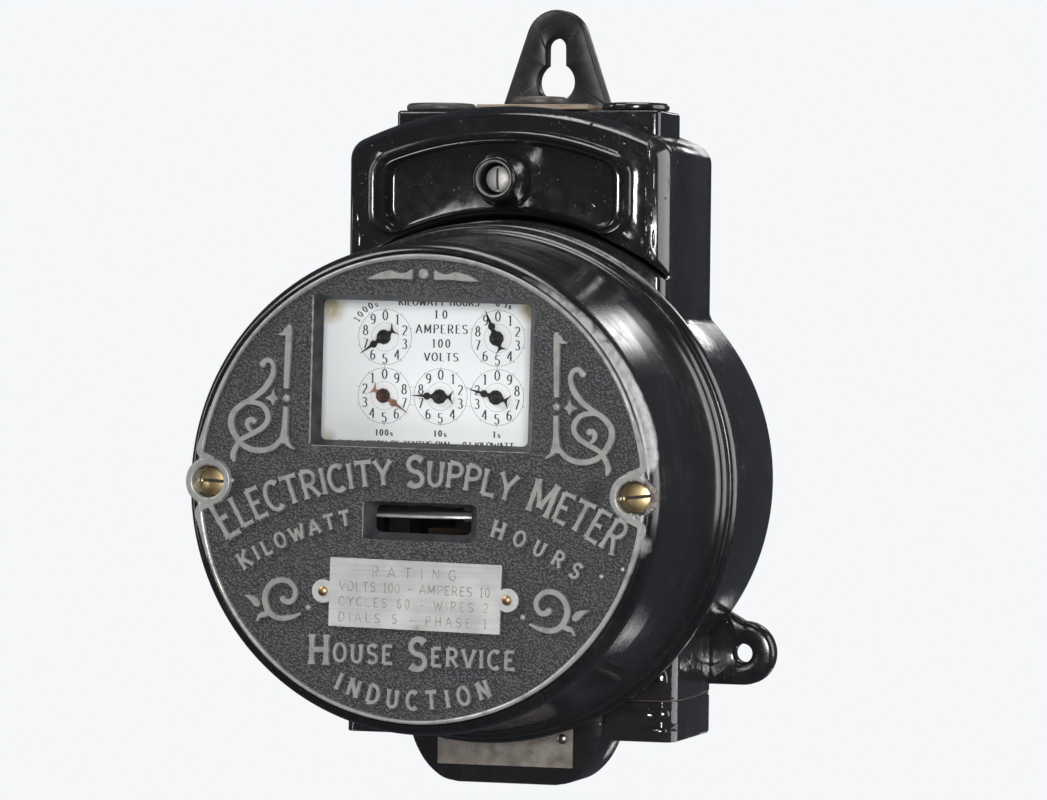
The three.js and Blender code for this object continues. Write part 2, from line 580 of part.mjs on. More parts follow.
const ARBORS = [
  { name: 'tenths', x: DIAL_X, z: DIAL_HIGH, reading: 9.35, clockwise: true },
  { name: 'units', x: DIAL_X, z: DIAL_LOW, reading: 2.05, clockwise: false },
  { name: 'tens', x: 0, z: DIAL_LOW, reading: 7.55, clockwise: true },
  { name: 'hundreds', x: -DIAL_X, z: DIAL_LOW, reading: 6.6, clockwise: false },
  { name: 'thousands', x: -DIAL_X, z: DIAL_HIGH, reading: 6.55, clockwise: true },
];
const PLATE_EDGE = { half: 45, low: 9.5, high: 64 };
const FRONT_PLATE_Y = [-142.4, -143.9];
const BACK_PLATE_Y = [-126, -127.5];

const arborHoles = (r) => ARBORS.map((a) => rodY(a.x, a.z, -110, -150, r, r, 10));
add('dial_plate', cut(block(-45.5, 45.5, DIAL_FRONT + 0.8, DIAL_FRONT, 11, 68), ...arborHoles(1.6)), PAPER);
add('register_front_plate', cut(
  block(-PLATE_EDGE.half, PLATE_EDGE.half, FRONT_PLATE_Y[0], FRONT_PLATE_Y[1], PLATE_EDGE.low, PLATE_EDGE.high),
  ...arborHoles(ARBOR_R + 0.15),
), BRASS);
const pillars = [[42, 12.5], [-42, 12.5], [42.6, 61], [-42.6, 61]]
  .map(([x, z]) => rodY(x, z, BACK_PLATE_Y[1] + 0.5, FRONT_PLATE_Y[0] + GAP, 1.6, 1.6, 12));
add('register_back_plate', cut(
  join(block(-PLATE_EDGE.half, PLATE_EDGE.half, BACK_PLATE_Y[0], BACK_PLATE_Y[1], PLATE_EDGE.low, PLATE_EDGE.high), ...pillars),
  ...arborHoles(ARBOR_R + 0.15),
), BRASS);

// a gear or pinion on its arbor: a toothed wheel about Y at (x, z), centred on the plane y
function wheel(x, z, y, thick, teeth, pitchR, phase) {
  const shape = toothedShape(teeth, pitchR, TOOTH, phase);
  return slab(shape, y + thick / 2, y - thick / 2, 4).translate([x, 0, z]);
}
const gearStep = (Math.PI * 2) / GEAR_TEETH;
const towards = (a, b) => Math.atan2(b.z - a.z, b.x - a.x);
const WORM_WHEEL_AT = { x: WORM_WHEEL_X, z: WORM_Z };

function arbor(i) {
  const a = ARBORS[i];
  const driver = i === 0 ? WORM_WHEEL_AT : ARBORS[i - 1];
  const driven = ARBORS[i + 1];
  const gearPlane = i === 0 ? DRIVE_PLANE : GEAR_PLANES[i - 1];
  const rear = i === 0 ? DRIVE_PLANE + 2.4 : BACK_PLATE_Y[0] + 0.8;
  const pieces = [
    rodY(a.x, a.z, DIAL_FRONT - 0.9, rear, ARBOR_R, ARBOR_R, 8),
    wheel(a.x, a.z, gearPlane, 1.2, GEAR_TEETH, GEAR_PITCH_R, towards(a, driver) + gearStep / 2),
  ];
  if (driven) {
    pieces.push(wheel(a.x, a.z, GEAR_PLANES[i], 1.8, PINION_LEAVES, PINION_PITCH_R, towards(a, driven)));
  }
  return join(...pieces);
}

// pointer drawn along +X: hub, small ball, fine tip, and a crescent for a tail
function pointerShape() {
  const s = new THREE.Shape();
  s.moveTo(10.8, 0);
  s.lineTo(5.9, 0.45).lineTo(5.1, 1.25).lineTo(4.1, 1.25).lineTo(3.3, 0.6);
  s.lineTo(2.5, 0.9);
  s.absarc(0, 0, 2.66, 0.35, Math.PI - 0.35, false);
  s.lineTo(-3.3, 0.4);
  s.bezierCurveTo(-3.8, 0.7, -4.2, 1.3, -5.2, 2.4);
  s.bezierCurveTo(-4.5, 1.1, -4.3, 0.5, -4.3, 0);
  s.bezierCurveTo(-4.3, -0.5, -4.5, -1.1, -5.2, -2.4);
  s.bezierCurveTo(-4.2, -1.3, -3.8, -0.7, -3.3, -0.4);
  s.absarc(0, 0, 2.66, Math.PI + 0.35, Math.PI * 2 - 0.35, false);
  s.lineTo(3.3, -0.6).lineTo(4.1, -1.25).lineTo(5.1, -1.25).lineTo(5.9, -0.45);
  s.closePath();
  return s;
}

ARBORS.forEach((a, i) => {
  add(`${a.name}_arbor`, arbor(i), BRASS);
  const turn = (a.clockwise ? -1 : 1) * (a.reading / 10) * Math.PI * 2;
  const back = DIAL_FRONT - 0.9 - GAP;
  const pointer = slab(pointerShape(), back, back - 0.6, 2);
  const angle = THREE.MathUtils.radToDeg(-(Math.PI / 2 + turn));
  add(`${a.name}_pointer`, pointer.rotate([0, angle, 0]).translate([a.x, 0, a.z]), a.name === 'hundreds' ? COPPER : BLUED);
});

// ---- worm wheel, rotor and bearings ---------------------------------------------------

add('worm_wheel', join(
  rodY(WORM_WHEEL_X, WORM_Z, -123.6, -88.6, 1.2, 1.2, 12),
  wheel(WORM_WHEEL_X, WORM_Z, ROTOR_Y, 2.4, WORM_WHEEL_TEETH, WORM_WHEEL_R - TOOTH, 0),
  rodY(WORM_WHEEL_X, WORM_Z, -98, -104, 4, 4, 16),
  wheel(WORM_WHEEL_X, WORM_Z, DRIVE_PLANE, 1.8, PINION_LEAVES, PINION_PITCH_R, towards(WORM_WHEEL_AT, ARBORS[0])),
), BRASS);

const WORM_PITCH = (Math.PI * 2 * WORM_WHEEL_R) / WORM_WHEEL_TEETH;
const SPINDLE_FOOT = -38;
const SPINDLE_HEAD = 50;
add('spindle', join(
  rodZ(0, ROTOR_Y, SPINDLE_FOOT, SPINDLE_HEAD, 1.6, 1.6, 16),
  rodZ(0, ROTOR_Y, SPINDLE_FOOT - 3, SPINDLE_FOOT + 1, 0.8, 0.8, 12),
  rodZ(0, ROTOR_Y, SPINDLE_HEAD - 1, SPINDLE_HEAD + 4, 0.8, 0.8, 12),
  ...[-2, -1, 0, 1, 2].map((i) => rodZ(0, ROTOR_Y, WORM_Z + i * WORM_PITCH - 0.4, WORM_Z + i * WORM_PITCH + 0.4, WORM_R, WORM_R, 12)),
  rodZ(0, ROTOR_Y, WORM_Z - 5, WORM_Z + 5, 3.2, 3.2, 12),
), STEEL);
add('disc', cut(
  join(rodZ(0, ROTOR_Y, DISC_Z - 0.5, DISC_Z + 0.5, DISC_R, DISC_R, 60), rodZ(0, ROTOR_Y, DISC_Z - 3.5, DISC_Z + 3.5, 5, 5, 20)),
  rodZ(0, ROTOR_Y, -20, 0, 1.9, 1.9, 16),
), ALUMINIUM);
add('top_bearing', cut(
  rodZ(0, ROTOR_Y, SPINDLE_HEAD + GAP, SPINDLE_HEAD + 12, 3, 3, 20),
  rodZ(0, ROTOR_Y, SPINDLE_HEAD, SPINDLE_HEAD + 6, 0.95, 0.95, 12),
), BRASS);
add('jewel_screw', cut(
  rodZ(0, ROTOR_Y, -62, SPINDLE_FOOT - GAP, 3, 3, 20),
  rodZ(0, ROTOR_Y, SPINDLE_FOOT - 4.5, SPINDLE_FOOT, 0.95, 0.95, 12),
  block(-4, 4, ROTOR_Y - 0.5, ROTOR_Y + 0.5, -63, -61),
), STEEL);

// ---- frame, brake magnets and electromagnets --------------------------------------------

const ARM_TOP = { low: 56, high: 61 };
const ARM_LOW = { low: -58, high: -51 };
const SPINE_Y = [-28, -33];
const MAGNET = { y: [-94, -106], jawTop: [-7.4, 4], jawLow: [-25, -13.2], inner: 38, back: 62, outer: 73 };

function movementFrame() {
  const shelf = MAGNET.jawLow[0] - GAP;
  const pieces = [
    block(-48, 48, SPINE_Y[0], SPINE_Y[1], 40, 52),
    block(-48, 48, SPINE_Y[0], SPINE_Y[1], -62, -51),
    block(-9, 9, SPINE_Y[0], SPINE_Y[1], -62, ARM_TOP.high),
    block(-9, 9, SPINE_Y[0], ROTOR_Y - 7, ARM_TOP.low, ARM_TOP.high),
    block(-9, 9, SPINE_Y[0], ROTOR_Y - 7, ARM_LOW.low, ARM_LOW.high),
    block(-14, -9, -94, -106, ARM_LOW.low, shelf),
    block(9, 14, -94, -106, ARM_LOW.low, shelf),
    block(-70, -9, -94, -106, shelf - 5, shelf),
    block(9, 70, -94, -106, shelf - 5, shelf),
    block(5, 30, -88, -91, 26, ARM_TOP.high), // hanger behind the worm wheel
    block(5, 30, -114, -117, 26, ARM_TOP.high), // hanger in front of it
    block(5, 9, -88, -117, ARM_TOP.low, ARM_TOP.high),
    block(-45, -5, -117, -121, ARM_TOP.low, ARM_TOP.high),
    block(5, 45, -114, -118, ARM_TOP.low, ARM_TOP.high),
    block(-9, 9, ROTOR_Y - 6, -121, ARM_TOP.low, ARM_TOP.high),
    ...[-1, 1].map((side) => block(side * 41.2, side * 45, -114, BACK_PLATE_Y[0] + GAP, ARM_TOP.low, ARM_TOP.high)),
    ...[-1, 1].flatMap((side) => [46, -56.5].map((z) => rodY(side * 41, z, -CASE_FLOOR - GAP, SPINE_Y[1] + 1, 5.5, 5, 16))),
  ];
  const bores = [
    rodZ(0, ROTOR_Y, 50, 64, 3 + GAP, 3 + GAP, 20),
    rodZ(0, ROTOR_Y, -64, -45, 3 + GAP, 3 + GAP, 20),
    rodY(WORM_WHEEL_X, WORM_Z, -80, -120, 1.35, 1.35, 16),
  ];
  return cut(join(...pieces), ...bores);
}
add('movement_frame', movementFrame(), CASTING);

function brakeMagnet(side) {
  const x = (v) => side * v;
  const [y0, y1] = MAGNET.y;
  return join(
    block(x(MAGNET.inner), x(MAGNET.outer), y0, y1, ...MAGNET.jawTop),
    block(x(MAGNET.inner), x(MAGNET.outer), y0, y1, ...MAGNET.jawLow),
    block(x(MAGNET.back), x(MAGNET.outer), y0, y1, MAGNET.jawLow[0], MAGNET.jawTop[1]),
  );
}
add('brake_magnet_left', brakeMagnet(-1), IRON);
add('brake_magnet_right', brakeMagnet(1), IRON);

const CORE_Y = [-48, -60];
function core() {
  const outline = rectangle(-47, 47, -50.6, 36);
  outline.holes.push(rectangle(-39, 39, -42.6, 28));
  return join(
    slab(outline, CORE_Y[0], CORE_Y[1]),
    block(-8, 8, CORE_Y[0], CORE_Y[1], -6.6, 30),
    block(-21, -11, CORE_Y[0], CORE_Y[1], -44, -14),
    block(11, 21, CORE_Y[0], CORE_Y[1], -44, -14),
  );
}
add('laminated_core', core(), IRON);
// a square winding round one limb of the core
function coil(x0, x1, thick, z0, z1) {
  return block(x0 - thick, x1 + thick, CORE_Y[0] + thick, CORE_Y[1] - thick, z0, z1)
    .subtract(block(x0 - GAP, x1 + GAP, CORE_Y[0] + GAP, CORE_Y[1] - GAP, z0 - 1, z1 + 1));
}
add('potential_coil', coil(-8, 8, 11, -1, 26.5), WINDING);
add('series_coil_left', coil(-21, -11, 8, -41.5, -18), COPPER);
add('series_coil_right', coil(11, 21, 8, -41.5, -18), COPPER);

export default root;
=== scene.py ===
# %% [markdown]
# # An old wall-mounted electricity meter
# The real thing is a cast-iron case stoved with black japan. A drum-shaped cover carries a cast front plate
# with a window for the five dials and a slot for the turning disc. Its CAD solids come in first as a fixed
# frame, in metres, with the origin where the drum's axis meets the wall. Every finer surface is laid over them.

# %% The frame
import math

import bmesh
import bpy
import numpy as np
from mathutils import Matrix, Vector


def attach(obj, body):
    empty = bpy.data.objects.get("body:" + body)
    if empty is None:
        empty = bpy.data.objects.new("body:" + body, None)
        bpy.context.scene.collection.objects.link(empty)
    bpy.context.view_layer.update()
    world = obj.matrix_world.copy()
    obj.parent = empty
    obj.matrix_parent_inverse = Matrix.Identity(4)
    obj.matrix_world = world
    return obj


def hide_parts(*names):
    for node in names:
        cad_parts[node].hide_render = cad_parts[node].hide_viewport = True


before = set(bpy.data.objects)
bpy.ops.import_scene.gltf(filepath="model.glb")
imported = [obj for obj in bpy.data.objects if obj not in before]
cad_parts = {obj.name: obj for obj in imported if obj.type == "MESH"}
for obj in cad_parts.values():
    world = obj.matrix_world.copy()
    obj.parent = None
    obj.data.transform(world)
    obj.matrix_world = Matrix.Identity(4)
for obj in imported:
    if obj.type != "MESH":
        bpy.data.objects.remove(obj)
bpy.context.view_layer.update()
MM = 0.001

# %% [markdown]
# ## Camera, light and ground
# A long lens looks at the meter from a little to the right of its axis and level with the slot. A white room
# would turn black japan grey, so only the camera sees a white world. The gloss sees a dim one with a few
# large soft panels in it: a wide panel on the right draws the edges, and a front one lights the dial.

# %% The camera
AZIMUTH, HEIGHT, ROLL = (math.radians(a) for a in (16.925, 0.945, 0.671))
DISTANCE, AIM = 1.801507, Vector((0.007921, -0.07, 0.030179))
back = Vector((math.sin(AZIMUTH) * math.cos(HEIGHT), -math.cos(AZIMUTH) * math.cos(HEIGHT), math.sin(HEIGHT)))
level = Vector((math.cos(AZIMUTH), math.sin(AZIMUTH), 0))
upright = back.cross(level)
across = level * math.cos(ROLL) + upright * math.sin(ROLL)
above = upright * math.cos(ROLL) - level * math.sin(ROLL)
camera = bpy.data.objects.new("camera", bpy.data.cameras.new("camera"))
camera.data.sensor_width = 36
camera.data.lens = 167.74
camera.matrix_world = Matrix.Translation(AIM + back * DISTANCE) @ Matrix((across, above, back)).transposed().to_4x4()
bpy.context.collection.objects.link(camera)
bpy.context.scene.camera = camera
bpy.context.scene.view_settings.view_transform = "Standard"
print("camera lens, mm:", camera.data.lens)

# %% The lights
def panel(name, place, aim, wide, tall, power, colour=(1, 1, 1)):
    """A rectangular lamp at `place` that faces `aim`; the camera does not see it."""
    lamp = bpy.data.lights.new(name, "AREA")
    lamp.shape, lamp.size, lamp.size_y, lamp.energy, lamp.color = "RECTANGLE", wide, tall, power, colour
    obj = bpy.data.objects.new(name, lamp)
    obj.location = place
    obj.rotation_euler = (Vector(aim) - Vector(place)).to_track_quat("-Z", "Y").to_euler()
    obj.visible_camera = False
    bpy.context.collection.objects.link(obj)
    return obj


panel("key_panel", (-1.25, -1.25, 1.45), (0, -0.15, 0.02), 1.1, 0.9, 34)
panel("face_panel", (0.62, -1.95, 0.2), (0, -0.15, 0.02), 0.42, 0.42, 35)
panel("right_panel", (1.6, 0.35, 0.4), (0.05, -0.1, 0.03), 1.6, 1.5, 34)
panel("top_panel", (0.1, 0.1, 1.6), (0, -0.1, 0.1), 1.0, 0.7, 15)
panel("rear_top_panel", (-0.12, 1.5, 0.36), (0, -0.05, 0.13), 0.34, 0.1, 0.2)
panel("left_panel", (-1.6, -0.3, 0.3), (0, -0.1, 0.03), 0.25, 1.3, 7)
panel("rear_high_panel", (0.21, 1.5, 0.56), (0, -0.1, 0.0), 0.15, 0.2, 0.65)
panel("rear_low_panel", (0.12, 1.5, -0.475), (0, -0.1, 0.0), 0.12, 0.14, 0.16)

world = bpy.data.worlds.new("room")
world.use_nodes = True
tree = world.node_tree
seen, felt = tree.nodes["Background"], tree.nodes.new("ShaderNodeBackground")
seen.inputs["Color"].default_value = (0.915, 0.93, 0.945, 1)
felt.inputs["Color"].default_value = (0.8, 0.87, 1.0, 1)
felt.inputs["Strength"].default_value = 0.07
ray, pick = tree.nodes.new("ShaderNodeLightPath"), tree.nodes.new("ShaderNodeMixShader")
tree.links.new(ray.outputs["Is Camera Ray"], pick.inputs[0])
tree.links.new(felt.outputs[0], pick.inputs[1])
tree.links.new(seen.outputs[0], pick.inputs[2])
tree.links.new(pick.outputs[0], tree.nodes["World Output"].inputs["Surface"])
bpy.context.scene.world = world

# %% [markdown]
# ## Finishes
# Each finish is a Principled shader with patterns in Object coordinates, which are metres here because every
# piece sits at the origin. Noise of a large scale makes the waves in thick japan, a fine one its dust, and a
# cell pattern the leather grain of the casting. Small helpers keep each finish to a few lines.


# %% Helpers for finishes
def new_finish(name, colour, roughness, metallic=0.0, specular=0.5):
    """Starts a finish; the helpers below add to the one that was started last."""
    global bench, shader
    bench = bpy.data.materials.new(name)
    bench.use_nodes = True
    shader = bench.node_tree.nodes["Principled BSDF"]
    values = {"Base Color": (*colour, 1), "Roughness": roughness, "Metallic": metallic, "Coat Roughness": 0.05,
              "Specular IOR Level": specular}
    for socket, value in values.items():
        shader.inputs[socket].default_value = value
    bench.node_tree.nodes.new("ShaderNodeTexCoord").name = "place"
    print("finish:", name)
    return bench


def feed(socket, value):
    """Gives a socket a number, a colour or another node's output."""
    if isinstance(value, bpy.types.NodeSocket):
        bench.node_tree.links.new(value, socket)
    elif socket.type == "RGBA":
        socket.default_value = (*value, 1)
    else:
        socket.default_value = value


def node(kind, **inputs):
    """A new node whose sockets take numbers or other sockets; a name that starts with set_ is a property."""
    made = bench.node_tree.nodes.new(kind)
    for key, value in inputs.items():
        if key.startswith("set_"):
            setattr(made, key[4:], value)
        else:
            feed(made.inputs[key.replace("_", " ")], value)
    return made


def place(scale=(1, 1, 1)):
    """Object coordinates, stretched by `scale`."""
    at = bench.node_tree.nodes["place"].outputs["Object"]
    return at if scale == (1, 1, 1) else node("ShaderNodeMapping", Vector=at, Scale=scale).outputs[0]


def cloud(scale, detail=3.0, stretch=(1, 1, 1)):
    """Soft noise from 0 to 1 with about `scale` waves to the metre."""
    return node("ShaderNodeTexNoise", Vector=place(stretch), Scale=scale, Detail=detail).outputs[0]


def cells(scale, at=None):
    """Distance to the nearest of scattered points, `scale` of them to the metre."""
    return node("ShaderNodeTexVoronoi", Vector=at or place(), Scale=scale).outputs[0]


def span(value, low, high, to_low=0.0, to_high=1.0):
    """`value` between low and high, carried to the range to_low..to_high and held there."""
    return node("ShaderNodeMapRange", Value=value, From_Min=low, From_Max=high, To_Min=to_low,
                To_Max=to_high).outputs[0]


def both(a, b, how="MULTIPLY"):
    made = node("ShaderNodeMath", set_operation=how)
    feed(made.inputs[0], a)
    feed(made.inputs[1], b)
    return made.outputs[0]


def tint(amount, a, b):
    """Colour a where amount is 0 and b where it is 1."""
    made = node("ShaderNodeMix", set_data_type="RGBA")
    for index, value in ((0, amount), (6, a), (7, b)):
        feed(made.inputs[index], value)
    return made.outputs[2]


def emboss(height, depth, strength=1.0, over=None):
    """Tilts the surface as if `height` stood `depth` millimetres tall, on top of an earlier emboss."""
    made = node("ShaderNodeBump", Height=height, Distance=depth * MM, Strength=strength)
    if over is not None:
        feed(made.inputs["Normal"], over)
    return made.outputs[0]


def wear_in(**sockets):
    """Joins patterns to the shader's sockets and hands the finish over."""
    for key, value in sockets.items():
        feed(shader.inputs[key.replace("_", " ")], value)
    return bench


def around(at, reach):
    """1 at the point `at` (millimetres), falling to 0 at `reach` millimetres from it."""
    off = node("ShaderNodeVectorMath", set_operation="DISTANCE", Vector=place())
    off.inputs[1].default_value = [v * MM for v in at]
    return span(off.outputs["Value"], 0.0, reach * MM, 1.0, 0.0)


def mottled(name, roughness, patches, between, dark, light, grain=None, metallic=0.0, stretch=(1, 1, 1)):
    """A plain stuff: soft patches from dark to light and a fine grain. patches is (scale, detail), between their
    range or None, and grain is (scale, detail, depth, strength)."""
    new_finish(name, light, roughness, metallic)
    amount = cloud(*patches, stretch)
    wear_in(Base_Color=tint(span(amount, *between) if between else amount, dark, light))
    return wear_in(Normal=emboss(cloud(*grain[:2], stretch), *grain[2:])) if grain else bench


print("noise counts per metre: a scale of 200 makes spots about", 1000 / 200, "mm wide")

# %% [markdown]
# Japan is a thick bitumen varnish, baked on. It is black and glossy, with slow waves where it ran, small
# pimples where dust was caught, and dull smears from handling. The box was dipped and is lumpy, the drum
# was rubbed down and is smoother, so one function makes both and the depths differ.


# %% Black japan
def japan(name, gloss, waves, pimples, dust=0.35, base=0.0105):
    new_finish(name, (0.004, 0.004, 0.0045), gloss[0])
    smear = both(span(cloud(38, 5), 0.4, 0.72), span(cloud(240, 4), 0.35, 0.7))
    spots = span(cells(190), 0.0, 0.13, 1, 0)
    nibs = span(cells(620), 0.0, 0.16, 1, 0)
    ripple = emboss(cloud(42, 2), waves, 0.8)
    ripple = emboss(cloud(300, 3), waves * 0.16, 0.7, ripple)
    ripple = emboss(both(spots, span(cloud(60), 0.5, 0.6)), pimples, 0.9, ripple)
    ripple = emboss(both(nibs, span(cloud(90), 0.45, 0.6)), pimples * 0.4, 0.8, ripple)
    lint = both(span(cells(1100), 0.06, 0.15, 1, 0), span(cloud(150, 4), 0.5, 0.62))
    colour = tint(both(smear, dust), (base, base * 0.98, base * 1.1), (base + 0.018, base + 0.018, base + 0.019))
    colour = tint(both(lint, 0.6), colour, (0.16, 0.155, 0.14))
    return wear_in(Base_Color=colour, Roughness=span(smear, 0, 1, *gloss), Normal=ripple)


japan_cast = japan("japan_on_casting", (0.15, 0.36), 0.55, 0.34, 0.3, 0.0075)
japan_box = japan("japan_on_box", (0.12, 0.32), 0.60, 0.42, 0.35, 0.008)

japan_worn = japan("japan_handled", (0.36, 0.6), 0.45, 0.45, 0.3, 0.006)
shader.inputs["Specular IOR Level"].default_value = 0.3
japan_thick = japan("japan_thick", (0.07, 0.2), 2.0, 0.2, 0.25)

# %% [markdown]
# A crescent on the drum's shoulder beside the upper right of the plate and a patch below the right boss are
# painted grey: partly worn-through japan, partly a painted reflection of the lights on the shoulder. The crest
# of the rear bead carries a painted highlight. This mask is painted on the mesh as an attribute, and this finish
# turns it into streaky grey metal.

# %% Japan on the drum
japan_drum = japan("japan_on_drum", (0.19, 0.36), 0.14, 0.03, 0.3, 0.0045)
# The mask is worn japan and painted reflection together: where it is set, the black turns to grey metal.
wear_and_reflection_mask = node("ShaderNodeAttribute", set_attribute_name="wear_and_reflection").outputs["Fac"]
streaks = span(cloud(700, 5, (1, 0.25, 0.3)), 0.3, 0.7, 0.35, 1.3)
ragged = both(wear_and_reflection_mask, span(cloud(420, 5), 0.25, 0.65, 0.55, 1.5))
bare_metal_and_reflection = span(ragged, 0.2, 1.05)
black = shader.inputs["Base Color"].links[0].from_socket
satin = shader.inputs["Roughness"].links[0].from_socket
metal = tint(streaks, (0.11, 0.11, 0.107), (0.25, 0.25, 0.245))
wear_in(
    Base_Color=tint(bare_metal_and_reflection, black, metal),
    Roughness=both(satin, both(bare_metal_and_reflection, 0.16), "ADD"),
)

# %% [markdown]
# The front plate is cast with a leather grain in its ground. It was blacked all over, then the raised work
# was rubbed bright. The grain is a cell pattern pulled a little to one side. Its crests are paler than its pits:
# partly rubbed metal, partly a painted highlight on the crests and painted shade in the pits. The ground is
# darker beside the screw bosses.

# %% The front plate's finishes
plate_ground = new_finish("grained_ground", (0.06, 0.06, 0.07), 0.5, 0.25)
drift = node("ShaderNodeVectorMath", set_operation="ADD", Vector=place())
bend = node("ShaderNodeTexNoise", Vector=place(), Scale=90.0, Detail=2.0)
pull = node("ShaderNodeVectorMath", set_operation="SCALE", Vector=bend.outputs["Color"], Scale=0.0022)
feed(drift.inputs[1], pull.outputs[0])
# Paler crests and darker pits: partly rubbed metal, partly painted highlight and painted shade.
crest = span(cells(1060, drift.outputs[0]), 0.12, 0.72, 1, 0)
patchy = span(cloud(70, 5), 0.35, 0.7)
ground_colour = tint(crest, (0.014, 0.014, 0.016), (0.094, 0.095, 0.101))
ground_colour = tint(both(patchy, 0.35), ground_colour, (0.04, 0.038, 0.034))
# Two darker patches on the ground beside the screw bosses.
darker_beside_bosses = both(around((64.5, -169.2, 0.5), 6.5), around((-68.5, -169.2, 0.0), 7.0), "ADD")
ground_colour = tint(span(darker_beside_bosses, 0.15, 0.6, 0, 0.75), ground_colour, (0.018, 0.017, 0.017))
wear_in(Base_Color=ground_colour, Roughness=span(crest, 0, 1, 0.62, 0.36),
        Normal=emboss(crest, 0.62, 0.9))

plate_edge = mottled("smooth_casting", 0.42, (180, 5), (0.35, 0.7), (0.022, 0.022, 0.025), (0.052, 0.053, 0.058),
                     (600, 3, 0.22, 0.8), 0.3)


def rubbed(name, dark, light, roughness):
    """Bare grey metal with darker specks and fine scratches."""
    new_finish(name, light, roughness, 0.45)
    specks = span(cells(700), 0.02, 0.2, 1, 0)
    stain = both(span(cloud(260, 6), 0.45, 0.8, 0, 0.9), both(specks, span(cloud(500), 0.5, 0.62)), "MAXIMUM")
    scratch = cloud(1500, 4, (1, 1, 0.2))
    return wear_in(Base_Color=tint(stain, light, dark), Roughness=span(stain, 0, 1, roughness - 0.06, roughness + 0.15),
                   Normal=emboss(scratch, 0.03, 0.5))


raised_metal = rubbed("rubbed_relief", (0.10, 0.10, 0.095), (0.27, 0.27, 0.255), 0.42)
chipped = rubbed("chipped_casting", (0.07, 0.05, 0.04), (0.2, 0.185, 0.17), 0.7)


# %% Brass, steel, nickel, glass and the rest
def plain_metal(name, dark, light, roughness, stretch=(1, 1, 1), fine=900, depth=0.02, metallic=1.0):
    new_finish(name, light, roughness, metallic)
    tarnish = span(cloud(160, 5), 0.4, 0.75)
    turning = cloud(fine, 3, stretch)
    return wear_in(Base_Color=tint(tarnish, light, dark), Roughness=span(tarnish, 0, 1, roughness, roughness + 0.18),
                   Normal=emboss(turning, depth, 0.6))


brass = plain_metal("lacquered_brass", (0.34, 0.235, 0.12), (0.78, 0.61, 0.33), 0.33, (0.15, 1, 1.3), 1400, 0.04)
dull_brass = plain_metal("dull_brass", (0.13, 0.08, 0.04), (0.42, 0.29, 0.12), 0.38)
copper_stud = plain_metal("copper_stud", (0.10, 0.06, 0.035), (0.36, 0.24, 0.13), 0.4)
steel = plain_metal("bright_steel", (0.16, 0.14, 0.12), (0.62, 0.61, 0.59), 0.2, (1, 1, 0.2))
satin_steel = plain_metal("satin_steel", (0.2, 0.19, 0.17), (0.52, 0.51, 0.49), 0.42, (1, 1, 0.2), metallic=0.55)
blued = plain_metal("blued_steel", (0.006, 0.005, 0.005), (0.014, 0.013, 0.014), 0.42, metallic=0.0)
tempered = plain_metal("tempered_steel", (0.06, 0.025, 0.018), (0.34, 0.17, 0.13), 0.45, metallic=0.1)
browned = plain_metal("browned_steel", (0.02, 0.010, 0.008), (0.075, 0.035, 0.025), 0.4, metallic=0.2)
aluminium = plain_metal("rolled_aluminium", (0.5, 0.5, 0.5), (0.86, 0.87, 0.88), 0.42, (1, 1, 8), metallic=0.45)
iron = plain_metal("grey_iron", (0.010, 0.008, 0.007), (0.022, 0.022, 0.024), 0.55, metallic=0.1, depth=0.06)
lamination = plain_metal("stacked_iron", (0.008, 0.006, 0.005), (0.03, 0.03, 0.032), 0.55, (0.05, 9, 0.05), 260, 0.12,
                         0.2)
nickel = plain_metal("worn_nickel", (0.085, 0.072, 0.06), (0.225, 0.2, 0.175), 0.45, (0.2, 1, 1.6), 1000, 0.05, 0.5)

name_metal = new_finish("rolled_name_plate", (0.5, 0.5, 0.49), 0.36, 0.55)
rolling = span(cloud(500, 6, (0.06, 1, 2.2)), 0.3, 0.7)
smudge = span(cloud(95, 5), 0.42, 0.7)
name_colour = tint(rolling, (0.45, 0.455, 0.44), (0.56, 0.565, 0.55))
name_colour = tint(both(smudge, 0.55), name_colour, (0.42, 0.42, 0.40))
rust = both(around((0.5, -170, -48.6), 1.6), around((-30, -170, -49), 1.2), "ADD")
name_colour = tint(both(rust, 0.8), name_colour, (0.35, 0.2, 0.08))
wear_in(Base_Color=name_colour, Roughness=span(smudge, 0, 1, 0.28, 0.5), Normal=emboss(rolling, 0.02, 0.5))

enamel = new_finish("dial_enamel", (0.86, 0.875, 0.88), 0.65, specular=0.2)
foxing = both(around((-41.5, -145.2, 63.5), 7.5), around((33.0, -145.2, 63.0), 6.0), "MAXIMUM")
foxing = both(foxing, both(around((-43, -145.2, 16), 6.0), 0.8), "MAXIMUM")
foxing = both(span(foxing, 0.1, 0.75), span(cloud(260, 5), 0.3, 0.6, 0.5, 1.1))
wear_in(Base_Color=tint(foxing, (0.86, 0.88, 0.885), (0.42, 0.37, 0.24)), Normal=emboss(cloud(200, 4), 0.03, 0.4))

